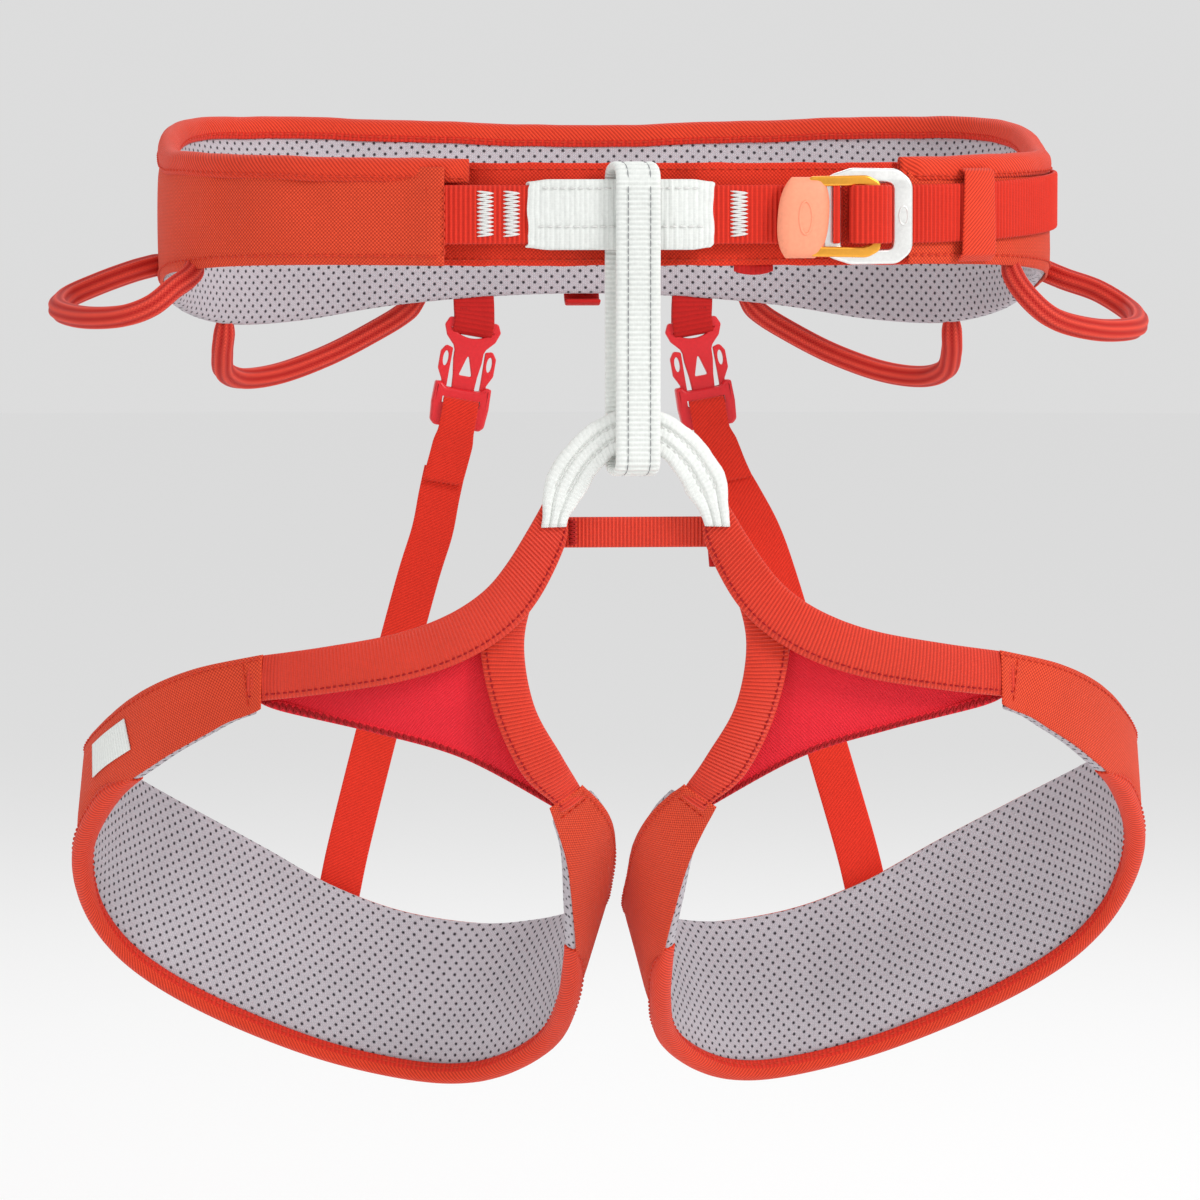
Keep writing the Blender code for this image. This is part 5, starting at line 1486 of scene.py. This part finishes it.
def make_riser_top(side):
    """The short webbing looped round the male half's bar, and the male half itself."""
    name = leg_side(side)
    lean = np.array(riser_stand(side))[:3, 0]
    turn = in_riser(side, [(0, way * RISER_GAP, z) for way, z in RISER_TURN])
    tops = [(side * RISER_X, RISER_TOP_Y + way * RISER_BELT_GAP, RISER_BELT_Z) for way in (-1, 1)]
    route = spline([tops[0], *turn, tops[1]], 120)
    tilt = ease((-0.0360 - route[:, 2:]) / 0.006)
    half = unit(np.array((1.0, 0, 0)) * (1 - tilt) + lean * tilt) * RISER_W / 2
    strap = band(f"riser_top_webbing_{name}", route - half, route + half, 0.0011, DEEP_LOOK)
    place(strap, "waist_belt", "dark_webbing", f"riser_upper_strap_{name}")
    corner = in_riser(side, [(-0.0060, -0.0020, 0.0042)])[0]
    tack = zigzag(f"riser_tack_{name}", corner, UPWARD * 0.0020, lean * 0.0120, FORWARD, 16, RED_THREAD)
    place(tack, "waist_belt", "dark_webbing")
    stand = riser_stand(side) @ Matrix.Rotation(math.radians(90), 4, "X")
    outline = rounded([*MALE_HALF, *((-x, y, r) for x, y, r in MALE_HALF[::-1])])
    slot = [(0.0078 * x, -0.0050 + 0.0030 * x * x) for x in np.linspace(-1, 1, 17)]
    outlines = [outline, slot, rounded(MALE_WINDOW)]
    male = plate(f"riser_male_{name}", outlines, 0.0036, 0.0005, stand, PLASTIC_LOOK)
    place(male, "waist_belt", "red_plastic", f"riser_buckle_male_{name}")
    for way, word in ((side, "outer"), (-side, "inner")):
        prong = rounded([(way * x, y, r) for x, y, r in PRONG_OUTLINE][::way])
        hole = oval(way * 0.0081, -0.0136, 0.0010, 0.0028)
        piece = plate(f"riser_prong_arm_{word}_{name}", [prong, hole], 0.0034, 0.0004, stand, PLASTIC_LOOK)
        place(piece, f"prong_{word}_{name}", "red_plastic", f"riser_prong_{word}_{name}")


def cut(made, title, size, z, stand):
    """Cuts a block out of a piece, in the buckle's own axes."""
    shape = bmesh.new()
    bmesh.ops.create_cube(shape, size=1.0)
    bmesh.ops.scale(shape, vec=size, verts=shape.verts)
    bmesh.ops.translate(shape, vec=(0, 0, z), verts=shape.verts)
    mesh = bpy.data.meshes.new(title)
    shape.to_mesh(mesh)
    shape.free()
    cutter = bpy.data.objects.new(title, mesh)
    cutter.matrix_world = stand
    bpy.context.scene.collection.objects.link(cutter)
    hollow = made.modifiers.new(title, "BOOLEAN")
    hollow.operation, hollow.object, hollow.solver = "DIFFERENCE", cutter, "EXACT"
    bpy.context.view_layer.update()
    result = bpy.data.meshes.new_from_object(made.evaluated_get(bpy.context.evaluated_depsgraph_get()))
    made.modifiers.clear()
    made.data = result
    bpy.data.objects.remove(cutter)


# The folded strap end in the buckle's axes: mirrored lean, shift of both sides, and place to the back and up
STRAP_END_PATH = (
    (0.0, 0.0, -0.0030, -0.0290), (0.0, 0.0, -0.0040, -0.0278),
    (0.0, 0.0, -0.0052, -0.0282), (0.0, 0.0, -0.0055, -0.0310),
    (0.0, 0.0, -0.0055, -0.0380), (0.0005, 0.0003, -0.0047, -0.0420),
    (0.0012, 0.0007, -0.0036, -0.0470), (0.0021, 0.0011, -0.0029, -0.0530),
    (0.0032, 0.0016, -0.0027, -0.0590),
)
SLOT_HALF = 0.0066


def make_riser_socket(side):
    """The female half with its pocket and strap slot, and the elastic that starts at it."""
    name, body = leg_side(side), f"riser_socket_{leg_side(side)}"
    stand = riser_stand(side)
    flat = stand @ Matrix.Rotation(math.radians(90), 4, "X")
    outline = rounded([*SOCKET_HALF, *((-x, y, r) for x, y, r in SOCKET_HALF[:0:-1])])
    socket = plate(f"riser_socket_body_{name}", [outline], 0.0082, 0.0013, flat, PLASTIC_LOOK)
    cut(socket, "pocket", (0.0172, 0.0048, 0.0170), -0.0222, stand)
    cut(socket, "strap_slot", (0.0140, 0.0120, 0.0024), -0.0286, stand)
    socket.data.shade_smooth()
    socket.data.set_sharp_from_angle(angle=math.radians(35))
    place(socket, body, "red_plastic", f"riser_buckle_female_{name}")
    route = spline([(side * lean + shift, y, z) for lean, shift, y, z in STRAP_END_PATH], 90)
    half_width = SLOT_HALF + (RISER_W / 2 - SLOT_HALF) * ease((-0.0385 - route[:, 2:]) / 0.006)
    edges = [in_riser(side, route + way * half_width * (1, 0, 0)) for way in (-1, 1)]
    end = band(f"riser_strap_front_{name}", *edges, 0.0010, ELASTIC_LOOK)
    place(end, body, "elastic_webbing", f"riser_strap_end_{name}")


RISER_ROUTE = (
    (0.0518, 0.0968, -0.0972), (0.0558, 0.0968, -0.1070), (0.0605, 0.0958, -0.1200),
    (0.0662, 0.0920, -0.1370), (0.0762, 0.0845, -0.1720), (0.0856, 0.0760, -0.2060),
    (0.0928, 0.0680, -0.2330), (0.0962, 0.0643, -0.2480), (0.0990, 0.0632, -0.2620),
)
# Both risers move this far to +X below this height, over this drop
RISER_SHIFT, RISER_SHIFT_FROM, RISER_SHIFT_DROP = 0.0048, -0.0885, 0.0350


def make_riser_elastic(side):
    """The elastic riser from the belt down to the leg loop, and the tack at its foot, which rides on the leg
    loop.
    """
    name = leg_side(side)
    x, y, z = np.array(RISER_ROUTE).T
    x = side * x + RISER_SHIFT * ease((RISER_SHIFT_FROM - z) / RISER_SHIFT_DROP)
    route = spline(np.stack([x, y, z], axis=1), 160)
    half = np.array((RISER_W / 2, 0, side * RISER_W / 2 * 0.26))
    strap = band(f"riser_elastic_strap_{name}", route - half, route + half, 0.0012, ELASTIC_LOOK, inner=10)
    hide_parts(f"riser_elastic_{name}")
    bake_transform(strap)
    corner = route[-10] - half * 0.8 + BACKWARD * 0.0009
    foot = unit(route[-1] - route[-10])
    tack = zigzag(f"riser_foot_tack_{name}", corner, foot * 0.0060, half * 1.6, BACKWARD, 14, RED_THREAD)
    place(tack, f"leg_loop_{name}", "elastic_webbing")


# Floor, light and camera


CAMERA_TARGET = Vector((-0.0014, 0.0, -0.1387))
CAMERA_DISTANCE = 2.5
CAMERA_WIDTH = 0.426
CAMERA_YAW, CAMERA_DROP = math.radians(4.5), math.radians(4.0)
FLOOR_Z, FLOOR_R = -0.46, 9.0
SKY_STRENGTH = 0.72
# Name, place, size and power of each light
LIGHTS = (
    ("key", (1.4, -1.2, 1.0), 0.7, 20.0),
    ("fill", (-1.3, -1.4, 0.5), 1.0, 4.0),
    ("back", (0.2, 1.5, 1.2), 0.9, 6.0),
)


def add_light(title, location, size, power):
    """A round area light that looks at the harness."""
    lamp = bpy.data.lights.new(title, "AREA")
    lamp.shape = "DISK"
    lamp.size = size
    lamp.energy = power
    made = bpy.data.objects.new(title, lamp)
    made.location = location
    made.rotation_euler = (CAMERA_TARGET - Vector(location)).to_track_quat("-Z", "Y").to_euler()
    bpy.context.scene.collection.objects.link(made)


def make_stage():
    """The pale floor, the lights and the camera."""
    turns = np.linspace(0, 2 * np.pi, 96, endpoint=False)
    points = [(FLOOR_R * math.cos(t), FLOOR_R * math.sin(t), FLOOR_Z) for t in turns]
    look = Look("pale_floor", 1.0)
    look.shader.inputs["Base Color"].default_value = (0.975, 0.975, 0.975, 1.0)
    look.shader.inputs["Specular IOR Level"].default_value = 0.0
    add_mesh("floor", points, [list(range(len(points)))], looks=[look.made])
    world = bpy.data.worlds.new("studio")
    world.use_nodes = True
    sky = world.node_tree.nodes["Background"]
    sky.inputs["Color"].default_value = (1.0, 1.0, 1.0, 1.0)
    sky.inputs["Strength"].default_value = SKY_STRENGTH
    bpy.context.scene.world = world
    bpy.context.scene.view_settings.view_transform = "Standard"
    for light in LIGHTS:
        add_light(*light)
    forward = Vector((
        math.sin(CAMERA_YAW) * math.cos(CAMERA_DROP),
        math.cos(CAMERA_YAW) * math.cos(CAMERA_DROP),
        -math.sin(CAMERA_DROP),
    ))
    camera = bpy.data.cameras.new("camera")
    camera.lens = camera.sensor_width * CAMERA_DISTANCE / CAMERA_WIDTH
    holder = bpy.data.objects.new("camera", camera)
    holder.location = CAMERA_TARGET - forward * CAMERA_DISTANCE
    holder.rotation_euler = forward.to_track_quat("-Z", "Y").to_euler()
    bpy.context.scene.collection.objects.link(holder)
    bpy.context.scene.camera = holder


def main():
    make_stage()
    make_waist_pad()
    make_waist_front()
    make_tail()
    make_buckle()
    make_belay_loop()
    make_arch()
    make_gear_loops()
    make_haul_loop()
    for side in (1, -1):
        make_leg_pad(side)
        make_leg_straps(side)
        make_riser_top(side)
        make_riser_socket(side)
        make_riser_elastic(side)


main()
